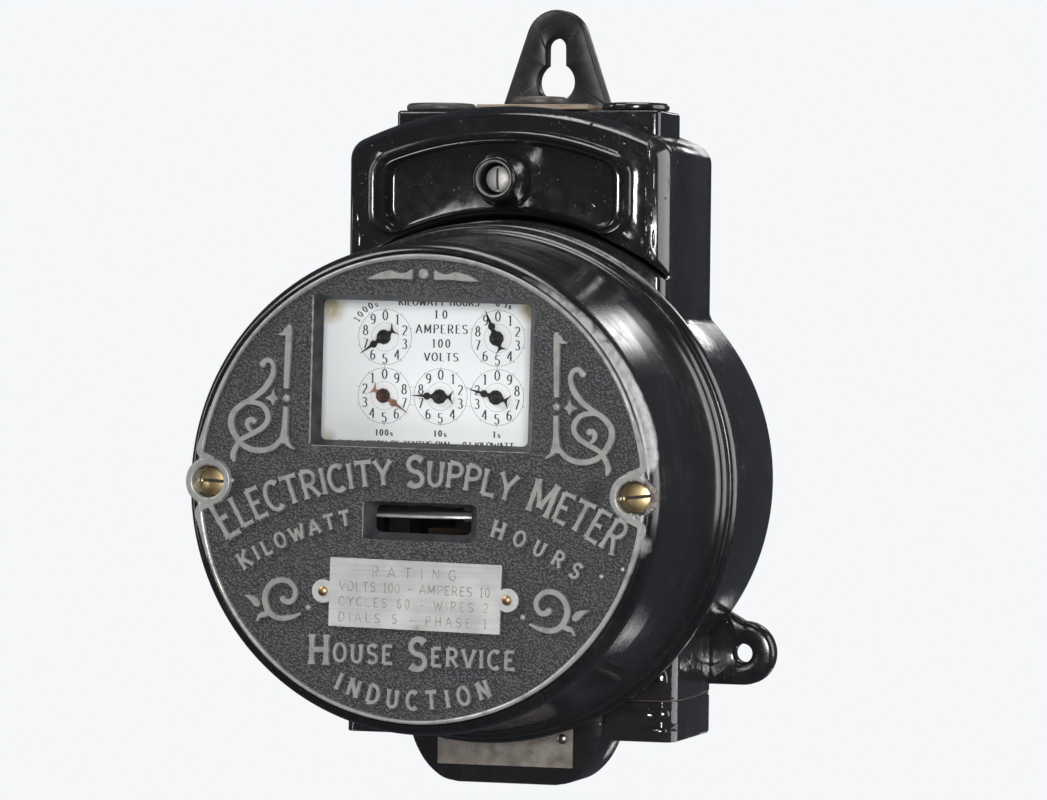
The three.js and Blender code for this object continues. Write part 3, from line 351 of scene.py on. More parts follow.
ink = mottled("dial_ink", 0.5, (900, 3), (0.4, 0.7), (0.025, 0.025, 0.028), (0.09, 0.09, 0.095))
pale_ink = mottled("dial_ink_pale", 0.5, (900, 3), (0.35, 0.65), (0.05, 0.05, 0.055), (0.26, 0.26, 0.27))
stamp = mottled("stamped_line", 0.55, (300, 4), (0.45, 0.72), (0.13, 0.13, 0.12), (0.30, 0.30, 0.28), metallic=0.2)
rubber = mottled("moulded_insulator", 0.5, (240, 5), (0.4, 0.7), (0.018, 0.017, 0.017), (0.055, 0.045, 0.038),
                 (700, 4, 0.12, 0.8))
fibre = mottled("vulcanised_fibre", 0.75, (300, 6), (0.35, 0.7), (0.12, 0.085, 0.062), (0.27, 0.215, 0.165),
                (500, 5, 0.2, 0.8), stretch=(0.3, 1, 3))
gasket = mottled("sealing_ring", 0.95, (900, 4), None, (0.03, 0.03, 0.027), (0.08, 0.075, 0.065), (1800, 3, 0.2))
slate = mottled("moulded_block", 0.6, (200, 5), None, (0.03, 0.032, 0.035), (0.07, 0.072, 0.076), (900, 4, 0.08))
packing = mottled("joint_packing", 0.9, (300, 4), None, (0.02, 0.014, 0.012), (0.07, 0.038, 0.03), (900, 3, 0.2))
# A dark finish for the bottom of the screw slots: painted shade.
painted_slot_shade = mottled("painted_slot_shade", 0.9, (700, 4), None, (0.008, 0.007, 0.006), (0.05, 0.04, 0.028))

glass = new_finish("clear_glass", (0.01, 0.012, 0.012), 0.04)
shader.inputs["Alpha"].default_value = 0.08
wear_in(Base_Color=tint(span(cloud(60, 4), 0.5, 0.8), (0.004, 0.005, 0.005), (0.05, 0.052, 0.05)))



def wound(name, dark, light, pitch):
    """Covered wire laid round a bobbin: level ridges `pitch` millimetres apart."""
    new_finish(name, light, 0.7)
    ridge = node("ShaderNodeTexWave", Vector=place(), set_bands_direction="Z", Scale=1000 / pitch / 20 * math.pi,
                 Distortion=0.6).outputs[1]
    # The colour follows the ridges: the grooves between turns are painted darker, as painted shade.
    return wear_in(Base_Color=tint(ridge, dark, light), Normal=emboss(ridge, 0.35, 0.9))


green_winding = wound("cotton_winding", (0.012, 0.02, 0.01), (0.055, 0.09, 0.045), 0.8)
strap_winding = wound("copper_winding", (0.02, 0.009, 0.006), (0.085, 0.04, 0.025), 2.6)
print("finishes:", len(bpy.data.materials))

# %% [markdown]
# ## Surfaces as arrays
# Nearly every piece here is a stack of closed rings: a turned drum, a rounded block, a bevelled plate. So one
# function joins rings into a skin, others lay out the rings, and `piece` turns the arrays into an object that
# rides on its CAD body. Lengths are millimetres until the last step.

# %% Rings, outlines and profiles
def table(text, columns=2):
    """Numbers written in a row, as rows of a table; most are X-Z or radius-depth pairs in millimetres."""
    return np.array(text.split(), float).reshape(-1, columns)



def skin(rings, loop=False):
    """Quads between neighbouring rings of a (rings, points, 3) grid; open stacks get a flat face at both ends."""
    rows, cols = rings.shape[:2]
    i, j = np.meshgrid(np.arange(rows if loop else rows - 1), np.arange(cols), indexing="ij")
    down, on = (i + 1) % rows, (j + 1) % cols
    quads = np.stack([i * cols + j, i * cols + on, down * cols + on, down * cols + j], -1).reshape(-1, 4).tolist()
    if not loop:
        quads += [list(range(cols))[::-1], list(range((rows - 1) * cols, rows * cols))]
    return rings.reshape(-1, 3), quads


def soften(points, reach, steps=3, closed=True):
    """Rounds a polyline: a corner P gives way to (1-t)^2 A + 2t(1-t) P + t^2 B, with A and B on its two sides,
    `reach` away."""
    p = np.asarray(points, float)
    before, after = np.roll(p, 1, 0), np.roll(p, -1, 0)
    if not closed:
        before[0], after[-1] = p[0], p[-1]

    def towards(q):
        far = np.linalg.norm(q - p, axis=1)
        return p + (q - p) * (np.minimum(reach, far * 0.49) / np.maximum(far, 1e-9))[:, None]

    t = np.linspace(0, 1, steps + 1)[None, :, None]
    curve = (1 - t) ** 2 * towards(before)[:, None] + 2 * t * (1 - t) * p[:, None] + t**2 * towards(after)[:, None]
    return curve.reshape(-1, p.shape[1])


def turned(profile, sides=96, x=0.0, z=0.0):
    """Rings of radius r at depth y about an axis along Y: (x + r cos a, y, z + r sin a)."""
    r, y = np.asarray(profile, float).T
    a = np.linspace(0, 2 * np.pi, sides, endpoint=False)
    return np.stack([x + r[:, None] * np.cos(a), np.repeat(y[:, None], sides, 1), z + r[:, None] * np.sin(a)], -1)


def stood(profile, x, y, sides=96):
    """Rings of radius r at height z about an upright axis: (x + r cos a, y + r sin a, z)."""
    r, z = np.asarray(profile, float).T
    a = np.linspace(0, 2 * np.pi, sides, endpoint=False)
    return np.stack([x + r[:, None] * np.cos(a), y + r[:, None] * np.sin(a), np.repeat(z[:, None], sides, 1)], -1)


def arc(cx, cz, rx, rz, start, end, n=12):
    """Points (cx + rx cos a, cz + rz sin a) for a from start to end, in degrees."""
    a = np.radians(np.linspace(start, end, n))
    return np.stack([cx + rx * np.cos(a), cz + rz * np.sin(a)], -1)


def thicken(outline, by):
    """An outline moved outwards by `by`, each point along the bisector of its two sides."""
    p = np.asarray(outline, float)
    side = np.roll(p, -1, 0) - p
    out = np.stack([side[:, 1], -side[:, 0]], -1) / np.maximum(np.linalg.norm(side, axis=1), 1e-9)[:, None]
    mean = out + np.roll(out, 1, 0)
    length = np.linalg.norm(mean, axis=1, keepdims=True)
    mean = mean / np.maximum(length, 1e-9) / np.maximum(length / 2, 0.5)
    turn = np.sum(p[:, 0] * np.roll(p[:, 1], -1) - p[:, 1] * np.roll(p[:, 0], -1))
    return p + mean * by * (1 if turn > 0 else -1)


def slab(outline, levels):
    """Copies of an X-Z outline at depth y, each thickened by its own amount: levels are (y, amount)."""
    rings = [np.insert(thicken(outline, by), 1, y, axis=1) for y, by in levels]
    return np.stack(rings)


def rounded_box(x0, x1, y0, y1, z0, z1, corner, edge, upright=False):
    """A block whose plan has round corners and whose ends are eased over a quarter circle of radius `edge`.
    The plan is in X and Z and the ends face along Y, or upright the plan is in X and Y and the ends face up and
    down."""
    u0, u1, v0, v1, w0, w1 = (x0, x1, y0, y1, z0, z1) if upright else (x0, x1, z0, z1, y0, y1)
    plan = soften([(u0, v0), (u1, v0), (u1, v1), (u0, v1)], corner, 5)
    q = np.linspace(0, np.pi / 2, 5)
    inset = np.concatenate([edge * (1 - np.sin(q)), edge * (1 - np.cos(q))])
    w = np.concatenate([w0 + edge * (1 - np.cos(q)), w1 - edge * (1 - np.sin(q))])
    rings = np.stack([thicken(plan, -i) for i in inset])
    height = np.repeat(w[:, None, None], rings.shape[1], 1)
    order = [rings, height] if upright else [rings[..., :1], height, rings[..., 1:]]
    return np.concatenate(order, -1)


def arch(half, low_r, high_r, low_corner, high_corner):
    """A panel with upright sides between two arcs about the drum's axis, its four corners rounded."""
    def corner(r, radius, inward):
        x = half - radius
        return x, math.sqrt((r + inward * radius) ** 2 - x**2)

    hx, hz = corner(high_r, high_corner, -1)
    lx, lz = corner(low_r, low_corner, 1)
    high, low = math.degrees(math.atan2(hz, hx)), math.degrees(math.atan2(lz, lx))
    return np.vstack([
        arc(hx, hz, high_corner, high_corner, 0, high, 8),
        arc(0, 0, high_r, high_r, high, 180 - high, 34)[1:-1],
        arc(-hx, hz, high_corner, high_corner, 180 - high, 180, 8),
        arc(-lx, lz, low_corner, low_corner, 180, 360 - low, 8),
        arc(0, 0, low_r, low_r, 180 - low, low, 34)[1:-1],
        arc(lx, lz, low_corner, low_corner, 180 + low, 360, 8),
    ])


def at_depth(outlines_and_depths):
    return np.stack([np.insert(outline, 1, y, axis=1) for outline, y in outlines_and_depths])


print("points round a softened square:", len(soften([(0, 0), (9, 0), (9, 9), (0, 9)], 1.0, 3)))

# %% From arrays to pieces
TURN = math.radians(0.9)  # the drum cover sits turned a little clockwise
TURNED = "drum_cover", "cover_screw_left", "cover_screw_right"  # bodies that are turned with it
turned_pieces = set()


def turn_with_cover(grid):
    c, s = math.cos(TURN), math.sin(TURN)
    x, y, z = np.moveaxis(grid, -1, 0)
    return np.stack([x * c + z * s, y, z * c - x * s], -1)


def piece(name, skin_of, finish, body, stands_for="", sharp=40, wear_and_reflection=None, loop=False):
    """Joins one or more ring grids into one closed mesh, turned with the cover if it belongs there, and hangs it on
    its CAD body."""
    parts = skin_of if isinstance(skin_of, list) else [skin_of]
    verts, faces = [], []
    for part in parts:
        v, f = part if isinstance(part, tuple) else skin(part, loop)
        start = sum(len(p) for p in verts)
        verts.append(np.asarray(v, float))
        faces += [[i + start for i in face] for face in f]
    v = np.vstack(verts)
    if body in TURNED:
        v = turn_with_cover(v)
    mesh = bpy.data.meshes.new(name)
    mesh.from_pydata((v * MM).tolist(), [], faces)
    if wear_and_reflection is not None:
        mesh.attributes.new("wear_and_reflection", "FLOAT", "POINT").data.foreach_set("value", np.asarray(wear_and_reflection, np.float32).ravel())
    tidy(mesh)
    mesh.materials.append(finish)
    mesh.shade_smooth()
    mesh.set_sharp_from_angle(angle=math.radians(sharp))
    obj = bpy.data.objects.new(name, mesh)
    bpy.context.collection.objects.link(obj)
    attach(obj, body)
    if stands_for:
        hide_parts(stands_for)
    if body in TURNED:
        turned_pieces.add(name)
    print(f"{name}: {len(mesh.polygons)} faces, rides {body}")
    return obj


def tidy(mesh):
    """Merges points that coincide, as at a pole, and turns every face outwards."""
    work = bmesh.new()
    work.from_mesh(mesh)
    bmesh.ops.remove_doubles(work, verts=work.verts, dist=1e-7)
    bmesh.ops.recalc_face_normals(work, faces=work.faces)
    work.to_mesh(mesh)
    work.free()
    mesh.update()


def cut_out(obj, grids, sharp=40):
    """Takes closed ring grids (millimetres, in the piece's own place) away from a piece."""
    for i, grid in enumerate(grids):
        v, f = skin(turn_with_cover(grid) if obj.name in turned_pieces else grid)
        mesh = bpy.data.meshes.new(f"tool_{i}")
        mesh.from_pydata((v * MM).tolist(), [], f)
        tidy(mesh)
        tool = bpy.data.objects.new(f"tool_{i}", mesh)
        bpy.context.collection.objects.link(tool)
        bite = obj.modifiers.new("bite", "BOOLEAN")
        bite.operation, bite.solver, bite.object = "DIFFERENCE", "EXACT", tool
        bpy.context.view_layer.update()
        made = bpy.data.meshes.new_from_object(obj.evaluated_get(bpy.context.evaluated_depsgraph_get()))
        obj.modifiers.clear()
        obj.data = made
        bpy.data.objects.remove(tool)
    obj.data.shade_smooth()
    obj.data.set_sharp_from_angle(angle=math.radians(sharp))
    return obj


print("bodies turned with the cover:", sorted(TURNED))

# %% [markdown]
# ## The drum cover
# A pressed iron drum with a rolled shoulder at the front and two beads at the back. A turned profile gives it
# exactly; the pattern of wear and painted reflection follows the angle round the drum and the place along the
# profile, so it is worked out on the same grid.

# %% The drum
DRUM_FACE, PLATE_SEAT = -168.9, -164.4
drum_line = np.array([
    (82.75, DRUM_FACE), (83.5, -169.2), (85.1, -168.3), (86.4, -166.0), (87.0, -162.6), (87.1, -150), (87.4, -136),
    (88.2, -122), (89.4, -110), (90.3, -103.8), (91.2, -101.2), (92.5, -100.2), (93.3, -98.4), (93.3, -96.0),
    (92.4, -94.5), (92.5, -93.7), (94.2, -93.2), (95.25, -91.0), (95.36, -88.2), (95.0, -85.9), (94.1, -84.4),
    (93.2, -83.5), (91.8, -83.4), (84.2, -83.4), (83.7, -88), (83.6, -150), (83.2, -158), (79.9, -161.2),
    (79.9, PLATE_SEAT), (82.75, PLATE_SEAT),
])
profile = soften(drum_line, 1.6, 4)
SIDES = 240
drum_grid = turned(profile, SIDES)
theta = np.degrees(np.arctan2(drum_grid[..., 2], drum_grid[..., 0]))
radius = np.hypot(drum_grid[..., 0], drum_grid[..., 2])
depth = drum_grid[..., 1]


def hump(value, centre, reach):
    """A smooth bump: exp(-((value - centre) / reach)^2)."""
    return np.exp(-(((value - centre) / reach) ** 2))


# Grey mask: the shoulder crescent and the patch below the boss are partly worn japan, partly painted reflection; the
# rear bead's crest band is a painted highlight.
reach_of_crescent = np.clip(np.interp(theta, [4.5, 9, 14, 22, 38, 55, 70], [0, 0.8, 1.0, 0.9, 0.55, 0.30, 0.0]), 0, 1)
crescent = (np.where((theta > 4.5) & (theta < 72) & (radius > 82), 1.0, 0.0)
            * np.clip((reach_of_crescent * 7.5 - (depth + 169.2)) / 3.0, 0, 1))
below_boss = hump(theta, -11.5, 2.6) * np.clip(1 - (depth + 169.2) / 5.0, 0, 1) * (radius > 83) * 0.62
bead_top = hump(theta, 62, 16) * hump(depth, -89.8, 2.6) * (radius > 94.4)
wear_and_reflection = np.maximum.reduce([crescent, below_boss, bead_top * 0.9])
drum = piece("drum_shell", drum_grid, japan_drum, "drum_cover", "drum_cover", wear_and_reflection=wear_and_reflection, loop=True)
BOSS_X = 78.3
bores = [turned([(8.2, -158.5), (8.2, -175.0)], 64, s * BOSS_X) for s in (-1, 1)]
cut_out(drum, bores)
print("drum faces:", len(drum.data.polygons))

# %% [markdown]
# ## The front plate
# The ground is a turned disc with the bevelled window, the disc slot and the two screw bores cut out of it.
# The faces that look forward take the grained finish, the bevels the smooth one. The bright rim and the two
# bosses are turned rings on top.

# %% Ground, window and slot
GROUND, FACE, PLATE_BACK = -169.2, -170.4, -164.7
disc_grid = turned([(0.0, PLATE_BACK), (82.4, PLATE_BACK), (82.4, GROUND), (0.0, GROUND)], 200)
plate = piece("plate_ground", disc_grid, plate_ground, "drum_cover", "front_plate", sharp=32)


def opening(front, rear, radius=2.2):
    """A tapering tool for a bevelled opening, from 1 mm before the ground to just behind the plate; boxes are x0,
    x1, z0, z1."""
    def ring(k):
        x0, x1, z0, z1 = (f + (r - f) * k for f, r in zip(front, rear))
        return soften([(x0, z0), (x1, z0), (x1, z1), (x0, z1)], radius, 5)

    thick = PLATE_BACK - GROUND
    return at_depth([(ring(-1 / thick), GROUND - 1), (ring(0), GROUND), (ring(1), PLATE_BACK),
                     (ring(1.02), PLATE_BACK + 0.5)])


WINDOW, WINDOW_REAR = (-40.9, 40.9, 14.3, 67.5), (-38.2, 38.2, 16.1, 65.7)
SLOT, SLOT_REAR = (-20.2, 21.8, -18.1, -4.7), (-16.7, 18.4, -15.7, -6.1)
tools = [opening(WINDOW, WINDOW_REAR), opening(SLOT, SLOT_REAR, 2.6)]
tools += [turned([(5.7, -160), (5.7, -175)], 64, s * BOSS_X) for s in (-1, 1)]
cut_out(plate, tools, 25)
plate.data.materials.append(plate_edge)
normals = np.empty(len(plate.data.polygons) * 3, np.float32)
plate.data.polygons.foreach_get("normal", normals)
plate.data.polygons.foreach_set("material_index", (normals.reshape(-1, 3)[:, 1] > -0.97).astype(np.int32))

# %% Rim and bosses
rim_line = soften([(80.75, -168.8), (80.95, -170.0), (81.5, FACE), (82.1, FACE), (82.5, -169.9), (82.5, -165.5),
                   (80.75, -165.5)], 0.35, 3)
rim = turned(rim_line, 260)
turns = np.linspace(0, 2 * np.pi, 260, endpoint=False)
wobble = 0.22 * np.sin(turns * 3 + 0.6) + 0.12 * np.sin(turns * 11)
inner = np.clip((81.6 - np.hypot(rim[..., 0], rim[..., 2])) / 0.85, 0, 1)[..., None] * wobble[None, :, None]
rim[..., [0, 2]] *= 1 + inner / 82
rim_ring = piece("plate_rim", rim, raised_metal, "drum_cover", "front_plate", sharp=35, loop=True)
cut_out(rim_ring, [turned([(7.0, -160), (7.0, -175)], 64, s * BOSS_X) for s in (-1, 1)], 35)
boss_line = soften([(8.9, -168.9), (8.4, -169.6), (8.2, FACE), (6.2, FACE), (5.75, -169.9), (5.7, -159.2),
                    (3.0, -158.5), (3.0, -154), (8.2, -154)], 0.4, 3)
left_boss = turned(boss_line, 96, -BOSS_X)
piece("left_boss", left_boss, raised_metal, "drum_cover", "front_plate", sharp=35, loop=True)

# %% [markdown]
# The right boss has been knocked: its outer wall is thinner, lower and ragged. The same turned grid is pushed
# about there, by an amount that depends on the angle round the boss and a few mixed sine waves.

# %% The chipped boss
right_boss = turned(boss_line, 128, BOSS_X)
phi = np.linspace(0, 2 * np.pi, 128, endpoint=False)
outward = np.clip((np.cos(phi + 0.15) - 0.25) / 0.35, 0, 1)
ragged_edge = 0.6 * np.sin(phi * 23) + 0.5 * np.sin(phi * 37 + 1) + 0.4 * np.sin(phi * 61 + 2)
front_part = np.clip((-166.5 - right_boss[..., 1]) / 2.0, 0, 1)
right_boss[..., 1] += front_part * outward * (1.9 + 0.35 * ragged_edge)
from_axis = np.stack([right_boss[..., 0] - BOSS_X, right_boss[..., 2]], -1)
outer_wall = np.clip((np.linalg.norm(from_axis, axis=-1) - 7.0) / 1.0, 0, 1)
from_axis *= (1 - outer_wall * outward * (0.085 + 0.012 * ragged_edge))[..., None]
right_boss[..., 0], right_boss[..., 2] = BOSS_X + from_axis[..., 0], from_axis[..., 1]
boss = piece("right_boss", right_boss, raised_metal, "drum_cover", "front_plate", sharp=35, loop=True)
boss.data.materials.append(chipped)
spots = np.empty(len(boss.data.polygons) * 3, np.float32)
boss.data.polygons.foreach_get("center", spots)
spots = spots.reshape(-1, 3) / MM
outer_side = (spots[:, 0] > BOSS_X + 3.6) & (np.hypot(spots[:, 0] - BOSS_X, spots[:, 2] + 1.2) > 5.9)
boss.data.polygons.foreach_set("material_index", outer_side.astype(np.int32))
print("faces at the outer side of the boss:", int(outer_side.sum()))

# %% [markdown]
# ## Strokes
# Scrolls, letters and dial figures are all strokes: a centre line with a width that changes along it. For raised
# work the stroke has a flat top and sloping sides; for ink it is nearly flat. Strokes that cross stand a hair
# higher than one another, so no two tops share a plane.

# %% Stroke surfaces


def resample(path, n):
    """The same path as n points at equal distances along it."""
    p = np.asarray(path, float)
    far = np.concatenate([[0], np.cumsum(np.linalg.norm(np.diff(p, axis=0), axis=1))])
    s = np.linspace(0, far[-1], n)
    return np.stack([np.interp(s, far, p[:, 0]), np.interp(s, far, p[:, 1])], -1)


def smooth_path(points, n=64):
    """A Catmull-Rom curve: each span is the cubic through its two ends with slopes from their neighbours."""
    p = np.asarray(points, float)
    q = np.vstack([2 * p[0] - p[1], p, 2 * p[-1] - p[-2]])
    a, b, c, d = q[:-3], q[1:-2], q[2:-1], q[3:]
    t = np.linspace(0, 1, 10)[None, :, None]
    curve = 0.5 * (2 * b[:, None] + (c - a)[:, None] * t + (2 * a - 5 * b + 4 * c - d)[:, None] * t**2
                   + (3 * b - a - 3 * c + d)[:, None] * t**3)
    return resample(curve.reshape(-1, 2), n)


def strokes(paths, halves, foot, top, slope=0.3, lift=0.012):
    """Solid strokes, all worked out at once: each point's four corners are centre -/+ normal * (half + slope) at the
    foot and centre -/+ normal * half at the top. paths is (strokes, points, 2), halves (strokes, points)."""
    paths, halves = np.asarray(paths, float), np.asarray(halves, float)
    run = np.gradient(paths, axis=1)
    run /= np.maximum(np.linalg.norm(run, axis=-1, keepdims=True), 1e-9)
    normal = np.stack([-run[..., 1], run[..., 0]], -1)
    count, n = halves.shape
    tops = top - lift * (np.arange(count) % 7)[:, None]
    corners = []
    for side, extra, y in ((-1, slope, foot), (-1, 0, tops), (1, 0, tops), (1, slope, foot)):
        at = paths + normal * (side * (halves + extra))[..., None]
        corners.append(np.stack([at[..., 0], np.broadcast_to(y, (count, n)), at[..., 1]], -1))
    grid = np.stack(corners, 2)  # strokes, points, corners, xyz
    i, j = np.meshgrid(np.arange(n - 1), np.arange(4), indexing="ij")
    one = np.stack([i * 4 + j, i * 4 + (j + 1) % 4, (i + 1) * 4 + (j + 1) % 4, (i + 1) * 4 + j], -1).reshape(-1, 4)
    caps = np.array([[3, 2, 1, 0], [n * 4 - 4, n * 4 - 3, n * 4 - 2, n * 4 - 1]])
    one = np.vstack([one, caps])
    faces = (one[None] + (np.arange(count) * n * 4)[:, None, None]).reshape(-1, 4)
    return grid.reshape(-1, 3), faces.tolist()


def emblem(outline, foot, top, slope=0.3):
    """A filled raised shape: its outline at the top, and thickened by `slope` at the foot."""
    return skin(slab(outline, [(foot, slope), (top + 0.15, 0.04), (top, -0.12)]))


def knob(x, z, r, foot, top):
    """A low round stud."""
    return skin(turned([(r + 0.3, foot), (r, top + 0.35), (r * 0.8, top + 0.05), (r * 0.35, top - 0.05),
                        (0.0, top - 0.06)], 28, x, z))


print("faces of one stud:", len(knob(0, 0, 1, 0, -1)[1]))

# %% [markdown]
# ## Scrollwork
# Each side of the window has an upright bar with a dot in it, a leaf-ended scroll and a small star; below there
# is a pair of open spirals with a bud. They are drawn once, from points read along each stem, and mirrored.

# %% The scrolls
FOOT, TOP = GROUND + 0.5, FACE + 0.1


def width(n, *stops):
    """Half widths along a stroke, from (place, half width) stops."""
    t, w = np.asarray(stops, float).T
    return np.interp(np.linspace(0, 1, n), t, w)


N = 64
# stems, each its points | its half widths at places from 0 to 1 ;
SCROLLS = """
49.2 56.4  49.4 50  49.6 43  49.8 33.8
| 0 0.55  0.06 0.95  0.2 1.1  0.75 1.0  1 0.85 ;
49.7 54.6  51.2 53.2  53.3 52.8
| 0 1.3  0.5 0.7  1 0.1 ;
49.8 27.4  49.9 22  50.1 17.2  49.6 14.6
| 0 0.85  0.55 0.95  0.8 1.35  1 1.5 ;
50.2 18.5  49.3 15.2  48.0 13.6  46.2 12.4
| 0 0.8  0.45 0.9  1 0.12 ;
50.4 18.2  51.2 16.0  53.8 13.2  57.2 11.8  61.4 11.7  65.0 13.0  67.4 15.2
| 0 0.6  0.2 0.85  0.6 0.95  1 0.9 ;
59.0 42.1  58.2 43.2  57.0 43.7  55.4 42.9  54.7 40.4  55.6 37.0  58.5 33.0  62.5 29.9  66.6 27.4  69.4 24.6
70.2 21.4  69.4 18.3  67.3 14.8  67.0 13.4
| 0 0.9  0.12 0.75  0.3 1.05  0.5 0.85  0.7 1.0  0.85 1.15  1 0.9 ;
66.6 15.2  67.6 13.4  68.5 11.8  69.2 9.8  68.6 7.2
| 0 0.9  0.5 0.9  0.8 0.95  1 0.25 ;
66.4 27.4  64.4 28.5  61.6 28.5  58.7 27.6  56.7 25.2  56.4 22.6  58.0 20.1  61.2 17.9  65.2 15.9  67.6 14.0
| 0 0.5  0.12 0.8  0.45 0.9  0.8 0.85  1 0.8 ;
61.8 17.9  63.4 19.2  64.1 21.0  63.2 22.3  61.9 22.2
| 0 0.4  0.45 0.8  1 0.95 ;
42.2 -45.4  45.8 -46.9  50.2 -47.4  53.3 -46.0  55.2 -43.3  55.8 -39.9  54.3 -36.2  51.1 -34.1  47.6 -34.1
44.8 -36.4  44.5 -39.2  46.1 -41.4  48.5 -41.2  49.2 -40.0
| 0 0.35  0.12 0.85  0.35 1.05  0.6 0.95  0.85 0.8  1 1.0 ;
53.6 -45.4  55.6 -46.2  57.6 -47.0  58.6 -48.9
| 0 0.9  0.5 0.9  1 0.15
"""
fleuron = table("57.6 30.2  55.4 31.3  54.6 33.6  54.0 31.3  52.6 30.1  54.0 29.2  54.6 27.6  55.4 29.2")
bud = soften(table("64.0 -39.9  61.4 -39.7  58.6 -40.6  57.3 -42.6  58.2 -43.9  60.0 -43.2  61.2 -41.6  "
                   "62.4 -40.6"), 1.2, 4)
leaf = soften(table("20.8 73.2  16.5 75.3  12.0 76.5  9.0 75.4  6.4 75.6  4.0 77.2  4.0 73.4  9.0 73.7  15 73.3"),
              1.0, 4)
stems = [[table(part) for part in line.split("|")] for line in SCROLLS.split(";")]
ways = np.stack([smooth_path(points, N) for points, _ in stems])
widths = np.stack([width(N, *stops) for _, stops in stems])
flip = np.array([-1.0, 1.0])
relief = [strokes(np.concatenate([ways, ways * flip]), np.concatenate([widths, widths]), FOOT, TOP)]
for s in (np.array([1.0, 1.0]), flip):
    relief += [emblem(np.asarray(shape) * s, FOOT, TOP) for shape in (fleuron, bud, leaf)]
    relief += [knob(x * s[0], z, r, FOOT, TOP)
               for x, z, r in table("49.8 30.4 1.25  39.6 -43.2 0.95  58.9 42.2 1.2  61.9 22.0 1.15  49.0 -40.6 1.15", 3)]
relief += [knob(0, 75.5, 1.75, FOOT, TOP), knob(-69.4, 0.6, 0.7, FOOT, TOP + 0.1)]
fillets = [[(a * 82.2 * math.cos(b), s * 82.2 * math.sin(b)) for b in (0.33, 0.20, 0.125)] + [(a * 76.6, s * 7.0)]
           for a in (-1, 1) for s in (-1, 1)]
fillets = np.stack([smooth_path(f, 20) for f in fillets])
relief.append(strokes(fillets, np.tile(width(20, (0, 0.3), (0.5, 0.8), (1, 1.6)), (4, 1)), FOOT, TOP - 0.05))
arris = [[(-40.9, 14.6), (-40.9, 67.2)], [(-40.2, 14.1), (40.2, 14.1)], [(-20.3, -17.6), (-20.3, -5.2)]]
arris = np.stack([resample(a, 40) for a in arris])
rough_line = 0.16 + 0.07 * np.sin(np.arange(40) * 1.9) + 0.05 * np.sin(np.arange(40) * 4.3)
relief.append(strokes(arris, np.stack([rough_line, rough_line * 0.5, rough_line * 0.6]), GROUND + 0.2, GROUND - 0.12,
                      0.15))
piece("scrollwork", relief, raised_metal, "drum_cover", sharp=30)

# %% [markdown]
# ## Lettering
# The letters are drawn as strokes too. Each glyph is its advance and its strokes on a body one unit tall. The
# same alphabet serves the cast words, thick with flared ends, and the printed and stamped ones, where the width
# follows the direction of the stroke as with a broad pen: full on uprights and a hairline on levels.

# %% The alphabet
def glyph(text):
    """Reads "advance / stroke / stroke": points in hundredths of the height, and an arc as @ cx cz rx rz start end
    count."""
    advance, *lines = text.split("/")
    drawn = []
    for line in lines:
        words, stroke = line.split(), []
        while words:
            if words[0] == "@":
                cx, cz, rx, rz, start, end, count = (float(w) for w in words[1:8])
                stroke.append(arc(cx / 100, cz / 100, rx / 100, rz / 100, start, end, int(count)))
            else:
                stroke.append(np.array([words[:2]], float) / 100)
            words = words[8 if words[0] == "@" else 2:]
        drawn.append(np.vstack(stroke))
    return float(advance) / 100, drawn


ALPHABET = """
A 72 / 0 0 36 100 / 36 100 72 0 / 13 33 59 33
C 66 / @ 37 50 34 50 48 312 16
D 70 / 10 0 10 100 / 10 100 @ 30 50 37 50 90 -90 14 10 0
E 60 / 10 0 10 100 / 10 98 56 98 / 10 52 44 52 / 10 2 60 2
F 56 / 10 0 10 100 / 10 98 56 98 / 10 50 44 50
G 72 / @ 37 50 34 50 48 350 18 / 46 44 72 44
H 70 / 10 0 10 100 / 60 0 60 100 / 10 50 60 50
I 24 / 12 0 12 100
K 66 / 10 0 10 100 / 60 100 12 42 / 26 58 64 0
L 58 / 10 0 10 100 / 10 2 58 2
M 86 / 10 0 10 100 / 10 100 43 20 / 43 20 76 100 / 76 100 76 0
N 72 / 10 0 10 100 / 10 100 62 0 / 62 0 62 100
O 74 / @ 37 50 33 50 90 450 24
P 62 / 10 0 10 100 / 10 100 @ 32 74 27 26 90 -90 10 10 48
R 68 / 10 0 10 100 / 10 100 @ 32 74 26 26 90 -90 10 10 48 / 32 48 66 0
S 60 / @ 30 75 25 25 30 255 12 @ 30 25 26 25 75 -150 12
T 68 / 34 0 34 100 / 0 98 68 98
U 70 / 10 100 @ 35 30 25 30 180 360 12 60 100
V 70 / 0 100 35 0 / 35 0 70 100
W 96 / 0 100 25 0 / 25 0 48 80 / 48 80 71 0 / 71 0 96 100
Y 66 / 0 100 33 46 / 66 100 33 46 / 33 46 33 0
0 56 / @ 28 50 23 50 90 450 24
1 40 / 22 0 22 100 / 8 86 22 100 / 8 1 36 1
2 56 / @ 27 74 21 26 160 -30 12 6 3 / 6 3 52 3
3 56 / @ 26 76 19 24 150 -90 10 @ 26 27 23 27 90 -150 12
4 58 / 40 0 40 100 / 40 100 3 30 / 3 30 56 30
5 56 / 12 100 48 97 / 12 100 10 55 @ 26 31 23 31 110 -150 14
6 56 / 44 97 @ 34 50 26 46 120 190 8 / @ 28 29 21 29 90 450 20
7 54 / 5 97 50 97 / 50 97 20 0
8 56 / @ 28 76 17 24 90 450 18 / @ 28 27 22 27 90 450 20
9 56 / 12 3 @ 22 50 26 46 -60 10 8 / @ 28 71 21 29 90 450 20
. 22 / 8 3 14 3
- 50 / 10 45 42 45
s 40 / @ 20 38 14 13 30 255 8 @ 20 13 15 13 75 -150 8
_ 42
"""
ALPHABET = {row[0].replace("_", " "): glyph(row[2:]) for row in ALPHABET.strip().split("\n")}
PEN = 16  # points along every letter stroke


